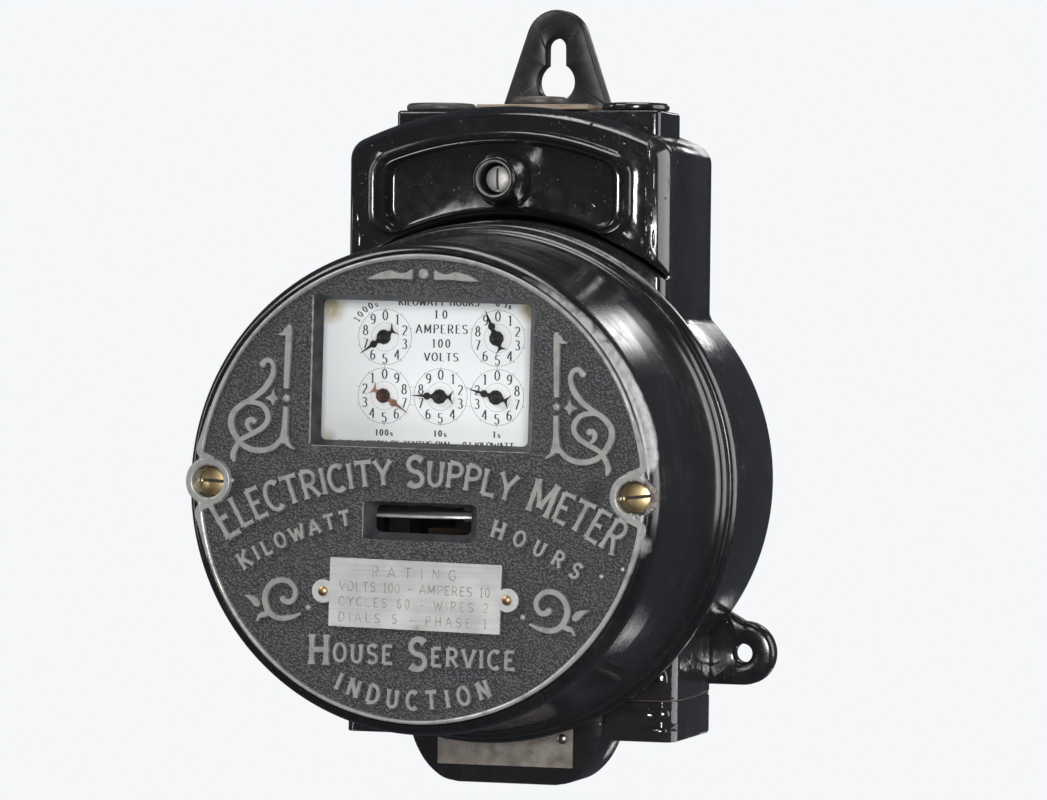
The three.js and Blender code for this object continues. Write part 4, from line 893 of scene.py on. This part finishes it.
def letters(words, tall, length, first=1.0):
    """Strokes of a line of words, spaced to fill `length` and centred on s = 0: an array (strokes, PEN, 2), and each
    stroke's own height.
    `first` makes the first letter of each word taller."""
    size = [first if i == 0 or words[i - 1] == " " else 1.0 for i in range(len(words))]
    wide = [ALPHABET[letter][0] * tall * k for letter, k in zip(words, size)]
    gap = (length - sum(wide)) / max(len(words) - 1, 1)
    s, out, heights = -length / 2 if len(words) > 1 else -wide[0] / 2, [], []
    for letter, k, w in zip(words, size, wide):
        for stroke in ALPHABET[letter][1]:
            out.append(resample(stroke, PEN) * tall * k + [s, -0.35 * tall * (k - 1)])
            heights.append(tall * k)
        s += w + gap
    return np.stack(out), np.array(heights)


def flared(paths, heights, weight):
    """Half widths of cast letters: `weight` of the height, wider at both ends and with a small point half-way along
    long uprights."""
    t = np.linspace(0, 1, PEN)[None]
    shut = np.linalg.norm(paths[:, 0] - paths[:, -1], axis=-1, keepdims=True) < 0.05 * heights[:, None]
    tall = (np.abs(paths[:, 0, 1] - paths[:, -1, 1]) > 0.8 * heights)[:, None]
    ends = np.exp(-((t / 0.10) ** 2)) + np.exp(-(((1 - t) / 0.10) ** 2))
    waist = np.exp(-(((t - 0.5) / 0.06) ** 2))
    return 0.5 * weight * heights[:, None] * (1 + np.where(shut, 0.05, 0.55) * ends + np.where(tall, 0.28, 0.0) * waist)


def broad_pen(paths, thick, thin):
    """Half widths that go from `thin` on a level stroke to `thick` on an upright one: thin + (thick - thin) |sin
    direction|."""
    run = np.gradient(paths, axis=1)
    rise = np.abs(run[..., 1]) / np.maximum(np.linalg.norm(run, axis=-1), 1e-9)
    return 0.5 * (thin + (thick - thin) * rise)


def on_arch(paths, cx, cz, r, upward=True, grow=0.0):
    """Carries a straight line of letters on to a circle: s runs along it and t away from it, growing by `grow` per
    unit of (s / 70) squared."""
    s, t = paths[..., 0], paths[..., 1] * (1 + grow * (paths[..., 0] / 70) ** 2)
    a = s / r
    if upward:
        return np.stack([cx + (r + t) * np.sin(a), cz + (r + t) * np.cos(a)], -1)
    return np.stack([cx + (r - t) * np.sin(a), cz - (r - t) * np.cos(a)], -1)


print("characters drawn:", len(ALPHABET))

# %% Cast words
CAST = (  # words, height, length, first letters, place along, the arch or (x, z) they stand on, weight
    ("ELECTRICITY SUPPLY METER", 8.6, 151, 1.2, 0.4, (-0.3, -126.3, 127.9, True, 0.36), 0.15),
    ("KILOWATT", 5.2, 43.5, 1.2, -44.8, (-1.5, -120.7, 109.6), 0.18),
    ("HOURS", 5.2, 34.5, 1.2, 46.2, (-1.5, -120.7, 109.4), 0.18),
    ("HOUSE SERVICE", 6.3, 76, 1.7, 0.0, (-0.8, -61.6), 0.165),
    ("INDUCTION", 6.2, 60, 1.0, 0.0, (0, -3.6, 73.6, False), 0.18),
)
cast = []
for words, tall, length, first, along, base, weight in CAST:
    way, heights = letters(words, tall, length, first)
    way = way + [along, 0.0]
    half = flared(way, heights, weight)
    cast.append(strokes(on_arch(way, *base) if len(base) > 2 else way + base, half, FOOT, TOP, 0.28))
dots = [knob(x, z, 0.75, FOOT, TOP) for x, z in ((75.2, -25.0), (67.6, -27.8))]
piece("cast_lettering", cast + dots, raised_metal, "drum_cover", sharp=30)
print("cast strokes:", sum(len(c[0]) // (PEN * 4) for c in cast))

# %% [markdown]
# ## Name plate
# A thin rolled plate with a rounded ear at each end, held by two brass pins. It sits a trace further round than
# the cover. Its outline is a rectangle with the ears' arcs let into the short sides.

# %% Name plate, its stamping and pins
TILT = math.radians(0.3)


def tilted(points):
    c, s = math.cos(TILT), math.sin(TILT)
    p = np.asarray(points, float) - [0, -37.3]
    return np.stack([p[..., 0] * c + p[..., 1] * s, p[..., 1] * c - p[..., 0] * s], -1) + [0, -37.3]


ear = math.degrees(math.acos((31.6 - 33.9) / 4.2))
outline = np.vstack([
    table("-31.5 -49.45  -10 -49.45  10 -49.45  31.5 -49.45  31.6 -49.3"), arc(33.9, -37.3, 4.2, 4.2, -ear, ear, 22),
    table("31.6 -25.3  31.5 -25.15  10 -25.15  -10 -25.15  -31.5 -25.15  -31.6 -25.3"),
    arc(-33.9, -37.3, 4.2, 4.2, 180 - ear, 180 + ear, 22), [(-31.6, -49.3)],
])
outline = tilted(outline)
plate_front = GROUND - 1.5
piece("name_plate_sheet", slab(outline, [(GROUND - 0.3, 0), (plate_front + 0.2, 0), (plate_front, -0.15)]),
      name_metal, "drum_cover", "name_plate", sharp=25)
stamped = []
for words, tall, length, at in (("RATING", 3.7, 31, (-0.4, -31.4)), ("VOLTS 100 - AMPERES 10.", 3.2, 57, (0.6, -36.6)),
                                ("CYCLES 60 - WIRES 2.", 3.2, 57, (0.6, -42.0)),
                                ("DIALS 5 - PHASE 1.", 3.2, 57, (0.6, -47.5))):
    way, _ = letters(words, tall, length)
    way = tilted(way + np.array(at))
    stamped.append(strokes(way, np.full(way.shape[:2], 0.15), plate_front + 0.1, plate_front - 0.03, 0.02, 0.002))
piece("name_plate_stamping", stamped, stamp, "drum_cover", sharp=30)
for s, name in ((-1, "left"), (1, "right")):
    x, z = tilted([(s * 33.9, -37.3)])[0]
    y = plate_front - 0.1
    pin = turned([(0.0, -166), (1.0, -166), (1.0, y), (1.75, y), (1.6, y - 0.5), (1.1, y - 0.85), (0.0, y - 1.0)], 32,
                 x, z)
    piece(f"name_plate_pin_{name}_head", pin, copper_stud, "drum_cover", f"name_plate_pin_{name}", sharp=32)

# %% [markdown]
# ## Screws
# A fillister-headed screw: a low dome, straight sides, a slot across. The dome is turned and the slot is a block
# taken out of it, tilted as that screw was left. A dark block in the bottom of the slot is painted shade.


# %% Slotted screws
def slotted(name, x, z, front, rear, r, shank, tip, slot_width, angle, finish, body, dome):
    t = np.linspace(0, 1, 10)[1:]
    crown = [(r * math.sin(a), front + dome * (1 - math.cos(a)) / (1 - math.cos(1.3)) * 0.62) for a in t * 1.3]
    crown = [(k[0] * 0.985 / math.sin(1.3), k[1]) for k in crown]
    line = [(0.0, tip), (shank, tip), (shank, rear), (r, rear), (r, crown[-1][1] + 0.4)] + crown[::-1] + [(0.0, front)]
    screw = piece(name, turned(line, 72, x, z), finish, body)
    c, s = math.cos(angle), math.sin(angle)
    box = rounded_box(-r * 1.3, r * 1.3, front - 3, front + 1.35, -slot_width / 2, slot_width / 2, 0.2, 0.08)
    swung = lambda block: np.stack([block[..., 0] * c - block[..., 2] * s + x, block[..., 1],
                                    block[..., 0] * s + block[..., 2] * c + z], -1)
    cut_out(screw, [swung(box)], 30)
    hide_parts(name.replace("_turned", ""))
    # A dark block sunk in the slot: painted shade, so the slot reads as a dark line.
    slot_shade_block = rounded_box(-r * 0.84, r * 0.84, front + 0.75, front + 1.5, -slot_width / 2 + 0.02, slot_width / 2 - 0.02,
                        0.2, 0.08)
    piece(name.replace("_turned", "_slot_painted_shade"), swung(slot_shade_block), painted_slot_shade, body)


slotted("cover_screw_left_turned", -BOSS_X, 0, -164.2, -159.0, 5.35, 2.5, -62, 1.15, -0.03, brass, "cover_screw_left",
        1.8)
slotted("cover_screw_right_turned", BOSS_X, 0, -164.8, -159.0, 5.4, 2.5, -62, 1.15, 0.12, brass, "cover_screw_right",
        1.8)

# %% Frame that holds both glasses
retainer = at_depth([(soften(table("-43.5 -21.5  43.5 -21.5  43.5 70.5  -43.5 70.5"), 1.0, 3), y)
                     for y in (-160.9, -161.6)])
frame_piece = piece("glass_frame", retainer, plate_edge, "drum_cover", "glass_retainer", sharp=30)
holes = [at_depth([(soften([(x0, z0), (x1, z0), (x1, z1), (x0, z1)], 1.0, 3), y) for y in (-159, -163)])
         for x0, x1, z0, z1 in ((-40.6, 40.0, 13.6, 67.6), (-19.2, 20.5, -17.6, -4.4))]
cut_out(frame_piece, holes, 30)

# %% [markdown]
# ## Register
# The dial sheet stays as its CAD solid. Over it lie the printed circles, the figures and the words of its units.
# Two neighbouring dials count opposite ways, because their arbors are geared together.

# %% Dial printing
DIALS = {"tenths": (21, 53.1, 1), "units": (21, 32.2, -1), "tens": (0, 32.2, 1), "hundreds": (-21, 32.2, -1),
         "thousands": (-21, 53.1, 1)}
SHEET = -145.2
figures, hairlines = [], []
for x, z, sense in DIALS.values():
    for n in range(10):
        a = math.radians(90 - sense * 36 * n)
        way, _ = letters(str(n), 3.5, 0)
        figures.append(way + [x + 7.75 * math.cos(a), z + 7.75 * math.sin(a) - 1.75])
        hairlines.append(resample([(x + r * math.cos(a), z + r * math.sin(a)) for r in (9.8, 10.7)], PEN)[None])
for words, tall, length, at in (("10", 2.9, 4.6, (-0.2, 59.9)), ("AMPERES", 3.1, 19.2, (0.2, 54.6)),
                                ("100", 2.9, 6.6, (0.0, 49.6)), ("VOLTS", 2.9, 12.6, (0.1, 44.8)),
                                ("KILOWATT HOURS", 2.7, 30, (-1.0, 64.4)), ("100s", 2.1, 6.4, (-21, 18.0)),
                                ("10s", 2.1, 4.6, (0, 18.0)), ("1s", 2.1, 2.6, (21, 18.0)),
                                ("ONE DIVISION OF TENTHS DIAL - 0.1 KILOWATT", 2.6, 66, (-5.5, 13.6))):
    way, _ = letters(words, tall, length)
    figures.append(way + np.array(at))
for words, length, shift in (("1000s", 9.5, -7.5), ("0.1s", 5.5, 2.0)):
    way, _ = letters(words, 2.2, length)
    at = DIALS["thousands" if shift < 0 else "tenths"]
    figures.append(on_arch(way + [shift, 0], at[0], at[1], 11.3))
figures = np.concatenate(figures)
ink_half = broad_pen(figures, 0.56, 0.17)
piece("dial_figures", strokes(figures, ink_half, SHEET + 0.05, SHEET - 0.03, 0.01, 0.001), ink, "case",
      sharp=30)
rings, faint = (np.stack([arc(x, z, r, r, 0, 360, 73) for x, z, _ in DIALS.values()]) for r in (9.9, 5.05))
hairlines = np.concatenate(hairlines)
piece("dial_circles", [strokes(rings, np.full(rings.shape[:2], 0.075), SHEET + 0.05, SHEET - 0.025, 0.01, 0.001),
                       strokes(hairlines, np.full(hairlines.shape[:2], 0.08), SHEET + 0.05, SHEET - 0.028, 0.01,
                               0.001)], pale_ink, "case", sharp=30)
piece("dial_inner_circles", strokes(faint, np.full(faint.shape[:2], 0.05), SHEET + 0.05, SHEET - 0.02, 0.01, 0.001),
      pale_ink, "case", sharp=30)

# %% Pointer hubs and the finishes of the register
for name, (x, z, _) in DIALS.items():
    metal = browned if name == "hundreds" else blued
    hub = turned(soften(table("0.0 -146.4  2.3 -146.4  2.5 -147.0  2.2 -147.45  1.6 -147.5  1.35 -147.2  0.95 -147.2  "
                              "0.8 -147.7  0.45 -147.8  0.0 -147.6"), 0.15, 2, False), 40, x, z)
    piece(f"{name}_hub", hub, metal, name, sharp=32)

# %% [markdown]
# ## Back case
# One iron casting: a round tub, a box above it for the terminals, a ledge, a hanging lug, two ears and a
# chamber below. Each is built as its own surface, sunk into its neighbours, with eased edges where the thick
# japan rounds them.

# %% Tub, box and ledge
tub_line = soften(table("0.0 -0.06  82.5 -0.06  87 -4.5  87 -81  82.4 -81  82.4 -4  0.0 -4"), 1.1, 3, False)
piece("tub", turned(tub_line, 200), japan_cast, "case", "back_case")
box_rings = table("57.6 86 134.8 0.8 5.0 -0.12  59.2 85.2 136.4 0.8 6.2 -0.5  61.0 84.3 138.1 0.8 7.6 -3.4  "
                  "61.5 84 138.6 0.8 8 -5.2  61.5 84 138.6 0.8 8 -60.0  61.2 84 138.3 0.8 7.8 -61.1  "
                  "60.4 84 137.5 0.8 7.2 -61.5  58.4 86.4 135.4 0.8 5.4 -61.5  57.6 87 134.7 0.8 4.6 -60.9  "
                  "57.5 87 134.6 0.8 4.5 -4.0", 6)
piece("terminal_box", at_depth([(arch(*r[:5]), r[5]) for r in box_rings]), japan_box, "case", "back_case")
apron_rings = table("60.9 86.2 96.4 1.0 1.0 -60.0  61.5 86 97.0 1.5 1.5 -61.0  61.5 86 97.0 1.5 1.5 -68.0  "
                    "60.6 86 96.9 1.5 1.5 -70.4  59.6 86 96.6 1.5 1.5 -71.6  58.6 86.3 96.0 1.5 1.5 -72.0", 6)
piece("drum_apron", at_depth([(arch(*r[:5]), r[5]) for r in apron_rings]), japan_box, "case", "back_case")
piece("ledge", rounded_box(-51.6, 51.6, -44, -13, 120, 138.3, 3.0, 1.3, True), japan_cast, "case", "back_case")
web = np.vstack([arc(69.5, 64.8, 8, 8, 176, 227, 14), [(60.2, 55.5), (58.5, 66)]])
for s, name in ((-1, "left"), (1, "right")):
    piece(f"{name}_web", slab(web * [s, 1], table("-4.4 -1.2  -6.0 0  -59.0 0  -60.2 -0.6")), japan_cast, "case",
          "back_case")


# %% [markdown]
# The lug and the ears are flat plates with a hole. Seen from a point inside the hole, both outlines can be read
# as a distance for every direction, so one grid of directions carries the plate's whole surface: over the outer
# edge, across the front, down through the hole and back.


# %% Lug and ears
def seen_from(outline, centre, n=180):
    """The outline as distances from `centre` in n even directions."""
    p = resample(np.vstack([outline, outline[:1]]), 4000)[:-1] - centre
    a, r = np.arctan2(p[:, 1], p[:, 0]), np.hypot(*p.T)
    order = np.argsort(a)
    even = np.linspace(-np.pi, np.pi, n, endpoint=False)
    return even, np.interp(even, a[order], r[order], period=2 * np.pi)


def holed_plate(outer, hole, centre, thick, ease=1.1):
    a, far = seen_from(outer, centre)
    _, near = seen_from(hole, centre)
    ring = lambda r, y: np.stack([centre[0] + r * np.cos(a), np.full_like(a, y), centre[1] + r * np.sin(a)], -1)
    return np.stack([
        ring(far - 0.3, 0), ring(far, -0.5), ring(far, -thick + ease), ring(far - ease * 0.35, -thick + ease * 0.35),
        ring(far - ease, -thick),
        ring(near + 1.0, -thick), ring(near + 0.3, -thick + 0.3), ring(near, -thick + 1.0), ring(near, -0.4),
        ring(near + 0.3, 0),
    ])


reach = math.hypot(21.6, 26.6)
lean = math.degrees(math.asin(12 / reach) - math.atan2(21.6, 26.6))
lug_edge = np.vstack([[(-21.6, 128), (21.6, 128), (21.6, 139.7)], arc(0, 166.3, 12, 12, -lean, 180 + lean, 30),
                      [(-21.6, 139.7)]])
spread = math.degrees(math.asin(3.85 / 7.4))
keyhole = np.vstack([arc(0, 150.6, 7.4, 7.4, 90 + spread, 450 - spread, 40), arc(0, 163.7, 3.85, 3.85, 0, 180, 16)])
piece("hanging_lug", holed_plate(lug_edge, keyhole, (0, 154.6), 7.0, 1.0), japan_worn, "case", "back_case",
      loop=True)
for s, name in ((-1, "left"), (1, "right")):
    edge = np.vstack([[(45, -77.3)], arc(76.4, -65.3, 12, 12, -90, 90, 24), [(66, -47.3), (52, -38)]]) * [s, 1]
    piece(f"{name}_ear", holed_plate(edge, arc(s * 76.4, -65.3, 3.6, 3.6, 0, 360, 40)[:-1], (s * 76.4, -65.3), 7.0,
                                     1.8), japan_cast, "case", "back_case", loop=True)

# %% Lower chamber and its cap
tub_bore = turned(table("0.0 5  87.35 5  87.35 -81.5  0.0 -81.5"), 200)
chamber = piece("lower_chamber", rounded_box(-64.5, 64.5, -60, -8, -80, -40, 3.2, 1.0, True), japan_thick, "case",
                "back_case")
corner = np.vstack([arc(57.0, -52.5, 7.5, 7.5, -90, 0, 14), [(67, -52.5), (67, -63), (57.0, -63)]])
corners = [at_depth([(corner * [s, 1], low), (corner * [s, 1], high)])[..., [0, 2, 1]] for s in (-1, 1) for low,
           high in ((-98, -39),)]
cut_out(chamber, [rounded_box(-48, 48, -56, -12, -81, -62, 3.0, 0.4, True)] + corners)
cap = piece("cable_cap", rounded_box(-64.5, 64.5, -60, -8, -95.5, -80.4, 3.2, 1.2, True), japan_thick, "lower_cap",
            "lower_cap")
cut_out(cap, [rounded_box(-48, 48, -56, -12, -92, -79, 3.0, 0.4, True), tub_bore] + corners)
bowl_side = lambda s: smooth_path([(s * 38, -84), (s * 38, -90), (s * 36.6, -97.5), (s * 32.0, -105.6),
                                   (s * 25.5, -111.2), (s * 19, -112.8)], 22)
bowl = np.vstack([bowl_side(-1), bowl_side(1)[::-1]])
cable_bowl = piece("cable_bowl", slab(bowl, table("-33 -1.4  -34 -0.3  -35 0  -59.4 0  -60.8 -0.5  -61.5 -1.8")),
                   japan_box, "lower_cap", "lower_cap")


def blob(x, y, z, rx, ry, rz):
    """A drop of japan: an ellipsoid of rings, (x + rx cos a sin b, y + ry sin a sin b, z + rz cos b)."""
    b = np.linspace(0.02, np.pi - 0.02, 14)[:, None]
    a = np.linspace(0, 2 * np.pi, 24, endpoint=False)[None]
    return np.stack([x + rx * np.cos(a) * np.sin(b), y + ry * np.sin(a) * np.sin(b), z + rz * np.cos(b) + 0 * a], -1)


cut_out(cable_bowl, [rounded_box(-33, 33, -57, -38, -104, -79, 3.0, 0.4, True), tub_bore])
lumps = [blob(50.5, -58.6, -86.0, 7.0, 2.2, 3.6), blob(58.6, -58.4, -85.4, 3.6, 2.0, 3.2),
         blob(56.0, -58.9, -91.5, 5.4, 1.8, 2.4)]
piece("cap_japan_drops", lumps, japan_thick, "lower_cap", sharp=60)
drops = [blob(57.0, -58.8, -72.5, 4.4, 2.0, 6.2), blob(50.0, -58.7, -68.6, 3.4, 2.0, 5.2)]
piece("chamber_japan_drops", drops, japan_thick, "case", sharp=60)
packing_sheet = piece("cap_packing", rounded_box(-64.4, 64.4, -59.9, -8.2, -80.42, -79.98, 3.2, 0.1, True), packing,
                      "lower_cap", sharp=60)
cut_out(packing_sheet, [rounded_box(-49, 49, -57, -11, -82, -78, 3.0, 0.1, True), tub_bore] + corners)

# %% Number plate
number_front = -62.85
number_outline = soften(table("-26.2 -106  26.2 -106  26.2 -91.5  -26.2 -91.5"), 0.5, 3)
piece("number_plate_sheet", slab(number_outline, [(-61.8, 0), (number_front + 0.15, 0), (number_front, -0.12)]),
      nickel, "lower_cap", "number_plate", sharp=25)
way, _ = letters("NO. 000 000", 2.5, 40)
way = way + np.array((1.0, -101.0))
piece("number_plate_stamping", strokes(way, np.full(way.shape[:2], 0.14), number_front + 0.1, number_front - 0.03,
                                       0.02, 0.002), stamp, "lower_cap", sharp=30)
for s, name in ((-1, "left"), (1, "right")):
    y = number_front - 0.1
    pin = turned([(0.0, -61.4), (0.9, -61.4), (0.9, y), (2.0, y), (1.8, y - 0.6), (1.2, y - 1.05), (0.0, y - 1.2)],
                 32, s * 22.4, -95.2)
    piece(f"number_plate_pin_{name}_head", pin, steel, "lower_cap", f"number_plate_pin_{name}", sharp=32)

# %% [markdown]
# ## Terminal cover
# A dished panel that follows the drum's curve, with a double bead round a sunk field and a hooded screw in the
# middle. Each ring of the surface is the same arch shape with its own half width, radii and depth.

# %% Terminal cover and its boss
cover_rings = table("61.9 97.4 138.8 1.2 8 -61.8  61.9 97.4 138.8 1.2 8 -65.4  61.75 97.5 138.65 1.3 8 -66.0  "
                    "60.9 98.0 137.8 1.6 7.6 -68.2  59.45 98.6 136.3 2.0 7.0 -71.9  "
                    "58.7 98.9 135.6 2.4 6.8 -72.6  55.8 99.2 132.9 5.0 8.6 -72.4  "
                    "52.6 99.5 130.3 9.0 9.6 -72.5  51.7 99.8 129.5 8.8 9.4 -73.3  "
                    "51.1 100.0 129.0 8.6 9.2 -74.5  50.2 100.3 128.3 8.2 8.8 -74.95  "
                    "49.2 100.5 127.5 7.9 8.4 -74.6  48.5 100.7 127.0 7.7 8.1 -73.6  "
                    "47.9 100.8 126.6 7.5 7.9 -73.3  47.2 100.9 126.2 7.2 7.6 -73.7  "
                    "46.4 101.1 125.8 6.9 7.3 -73.8  45.6 101.2 125.4 6.7 7.0 -73.2  "
                    "44.7 101.4 124.9 6.4 6.7 -71.2  44.1 101.6 124.6 6.2 6.5 -70.3  "
                    "43.2 102.0 124.1 6.0 6.2 -70.0", 6)


def field_shift(outline, half):
    """The beads stand 2.8 mm further in on the right: a shift that fades in over the right half and only reaches
    rings inside the flange."""
    inward = np.clip((58.0 - half) / 3.0, 0, 1) * np.clip(outline[:, 0] / 40, 0, 1)
    return outline - np.stack([2.8 * inward, 0 * inward], -1)


front_rings = [(field_shift(arch(*r[:5]), r[0]), r[5]) for r in cover_rings]
inside_rings = [(arch(57.9, 101.4, 134.8, 4, 4), -67.0), (arch(57.9, 101.4, 134.8, 4, 4), -62.1),
                (arch(58.2, 101.1, 135.1, 4.3, 4.3), -61.8)]
piece("terminal_cover_panel", at_depth(inside_rings + front_rings), japan_box, "terminal_cover",
      "terminal_cover")
runs = table("55.6 121 0.8 5.5 0.9  57.4 112 0.7 7.0 0.8  54.4 106 0.6 5.0 0.7  56.6 99 0.9 4.2 1.0  "
             "54.6 93.5 1.0 3.4 0.9  57.6 90 0.8 4.4 0.8  53.3 88.3 0.9 2.4 0.9  56.2 84.6 1.1 2.6 0.9  "
             "55.0 114.5 0.5 2.4 0.6  58.2 103.5 0.5 2.8 0.6  -57.4 96.5 1.2 3.4 0.5  "
             "-56.8 89.0 1.5 4.6 0.6  -54.8 92.0 0.9 2.2 0.4  -49.3 100.5 0.5 1.6 0.5", 5)


piece("cover_japan_runs", [blob(x, -72.1, z, w, h, t) for x, z, w, t, h in runs], japan_thick, "terminal_cover",
      sharp=60)
hood_line = soften(table("12.2 -69.6  10.6 -70.3  9.6 -72.4  8.9 -77  8.3 -83.4  7.9 -84.8  7.1 -85.0  6.4 -84.9  "
                         "5.95 -84.0  5.9 -74.0  2.9 -73.6  2.9 -68.5  12.2 -68.5"), 0.5, 3)
hood = turned(hood_line, 96, 0, 111.4)
piece("screw_hood", hood, japan_box, "terminal_cover", loop=True)
worn_ring = turned(soften(table("5.98 -84.0  6.35 -84.98  6.75 -85.08  6.85 -85.0  6.5 -84.6"), 0.1, 2), 96, 0, 111.4)
piece("screw_hood_worn_edge", worn_ring, chipped, "terminal_cover", sharp=60, loop=True)
slotted("terminal_cover_screw_turned", 0, 111.4, -80.4, -74.4, 4.8, 2.2, -44, 0.95, math.pi / 2 + 0.02, satin_steel,
        "terminal_cover_screw", 2.6)

# %% Wire bushings and fibre strip
def bushing(name, x, low, r, tall, finish):
    line = [(4.2, 131.2), (6.2, 131.2), (6.2, low), (r - 0.4, low), (r, low + 0.5), (r, low + tall - 0.9),
            (r - 0.9, low + tall), (r * 0.66, low + tall), (r * 0.6, low + tall - 0.7), (5.2, low + tall - 0.7),
            (4.2, low + tall - 1.2)]
    piece(name + "_moulding", stood(soften(line, 0.35, 2), x, -28.5, 96), finish, "case", name, sharp=35,
          loop=True)


bushing("left_wire_bushing", -38.5, 138.6, 13.2, 2.8, rubber)
bushing("middle_wire_bushing", 0, 140.9, 10.8, 3.0, rubber)
bushing("right_wire_bushing", 38, 138.6, 12.7, 2.8, japan_box)
strip = rounded_box(-20, 23.6, -44, -14, 138.6, 140.6, 1.2, 0.3, True)
piece("fibre_strip_sheet", strip, fibre, "case", "fibre_strip", sharp=30)

# %% [markdown]
# ## Rotor and movement
# The disc is thin rolled aluminium, so its edge is the brightest line in the dark slot. The rest of the movement
# keeps its CAD solids, each with its own metal, winding or moulding.

# %% Disc
disc_line = table("1.9 -13.8  5.0 -13.8  5.0 -10.85  53.6 -10.85  54.0 -10.6  54.0 -10.0  53.6 -9.75  "
                  "5.0 -9.75  5.0 -6.8  1.9 -6.8")
piece("rotor_disc", stood(disc_line, 0, -100, 220), aluminium, "rotor", "disc", sharp=30, loop=True)

# %% Finishes of the CAD solids that stay
KEPT = {
    "register_glass": glass, "disc_window_glass": glass, "dial_plate": enamel, "cover_gasket": gasket,
    "register_front_plate": dull_brass, "register_back_plate": dull_brass, "worm_wheel": dull_brass, "spindle": steel,
    "top_bearing": dull_brass, "jewel_screw": steel,
    "movement_frame": iron, "brake_magnet_left": iron, "brake_magnet_right": iron, "laminated_core": lamination,
    "potential_coil": green_winding,
    "series_coil_left": strap_winding, "series_coil_right": strap_winding, "terminal_block": slate,
    "left_cap_screw": steel, "right_cap_screw": steel,
}
KEPT.update({f"{d}_arbor": dull_brass for d in DIALS})
KEPT.update({f"{d}_pointer": tempered if d == "hundreds" else blued for d in DIALS})
KEPT.update({f"{s}_terminal{k}": dull_brass for s in ("left", "middle", "right") for k in ("", "_screw")})
for name, finish in KEPT.items():
    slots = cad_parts[name].material_slots
    for entry in slots:
        entry.material = finish
print("kept solids:", len(KEPT))

# %% [markdown]
# ## Floor
# The meter hangs clear of the ground; a pale floor lies some way below it.

# %% Floor
floor_mesh = bpy.data.meshes.new("floor")
corners = table("-1.6 -1.6 -0.3  1.6 -1.6 -0.3  1.6 1.4 -0.3  -1.6 1.4 -0.3", 3)
floor_mesh.from_pydata(corners.tolist(), [], [(0, 1, 2, 3)])
floor = bpy.data.objects.new("floor", floor_mesh)
pale = new_finish("pale_floor", (0.8, 0.81, 0.82), 0.8)
floor_mesh.materials.append(pale)
bpy.context.collection.objects.link(floor)
floor.visible_glossy = False
print("floor:", floor.name)

# %% End
bpy.context.view_layer.update()
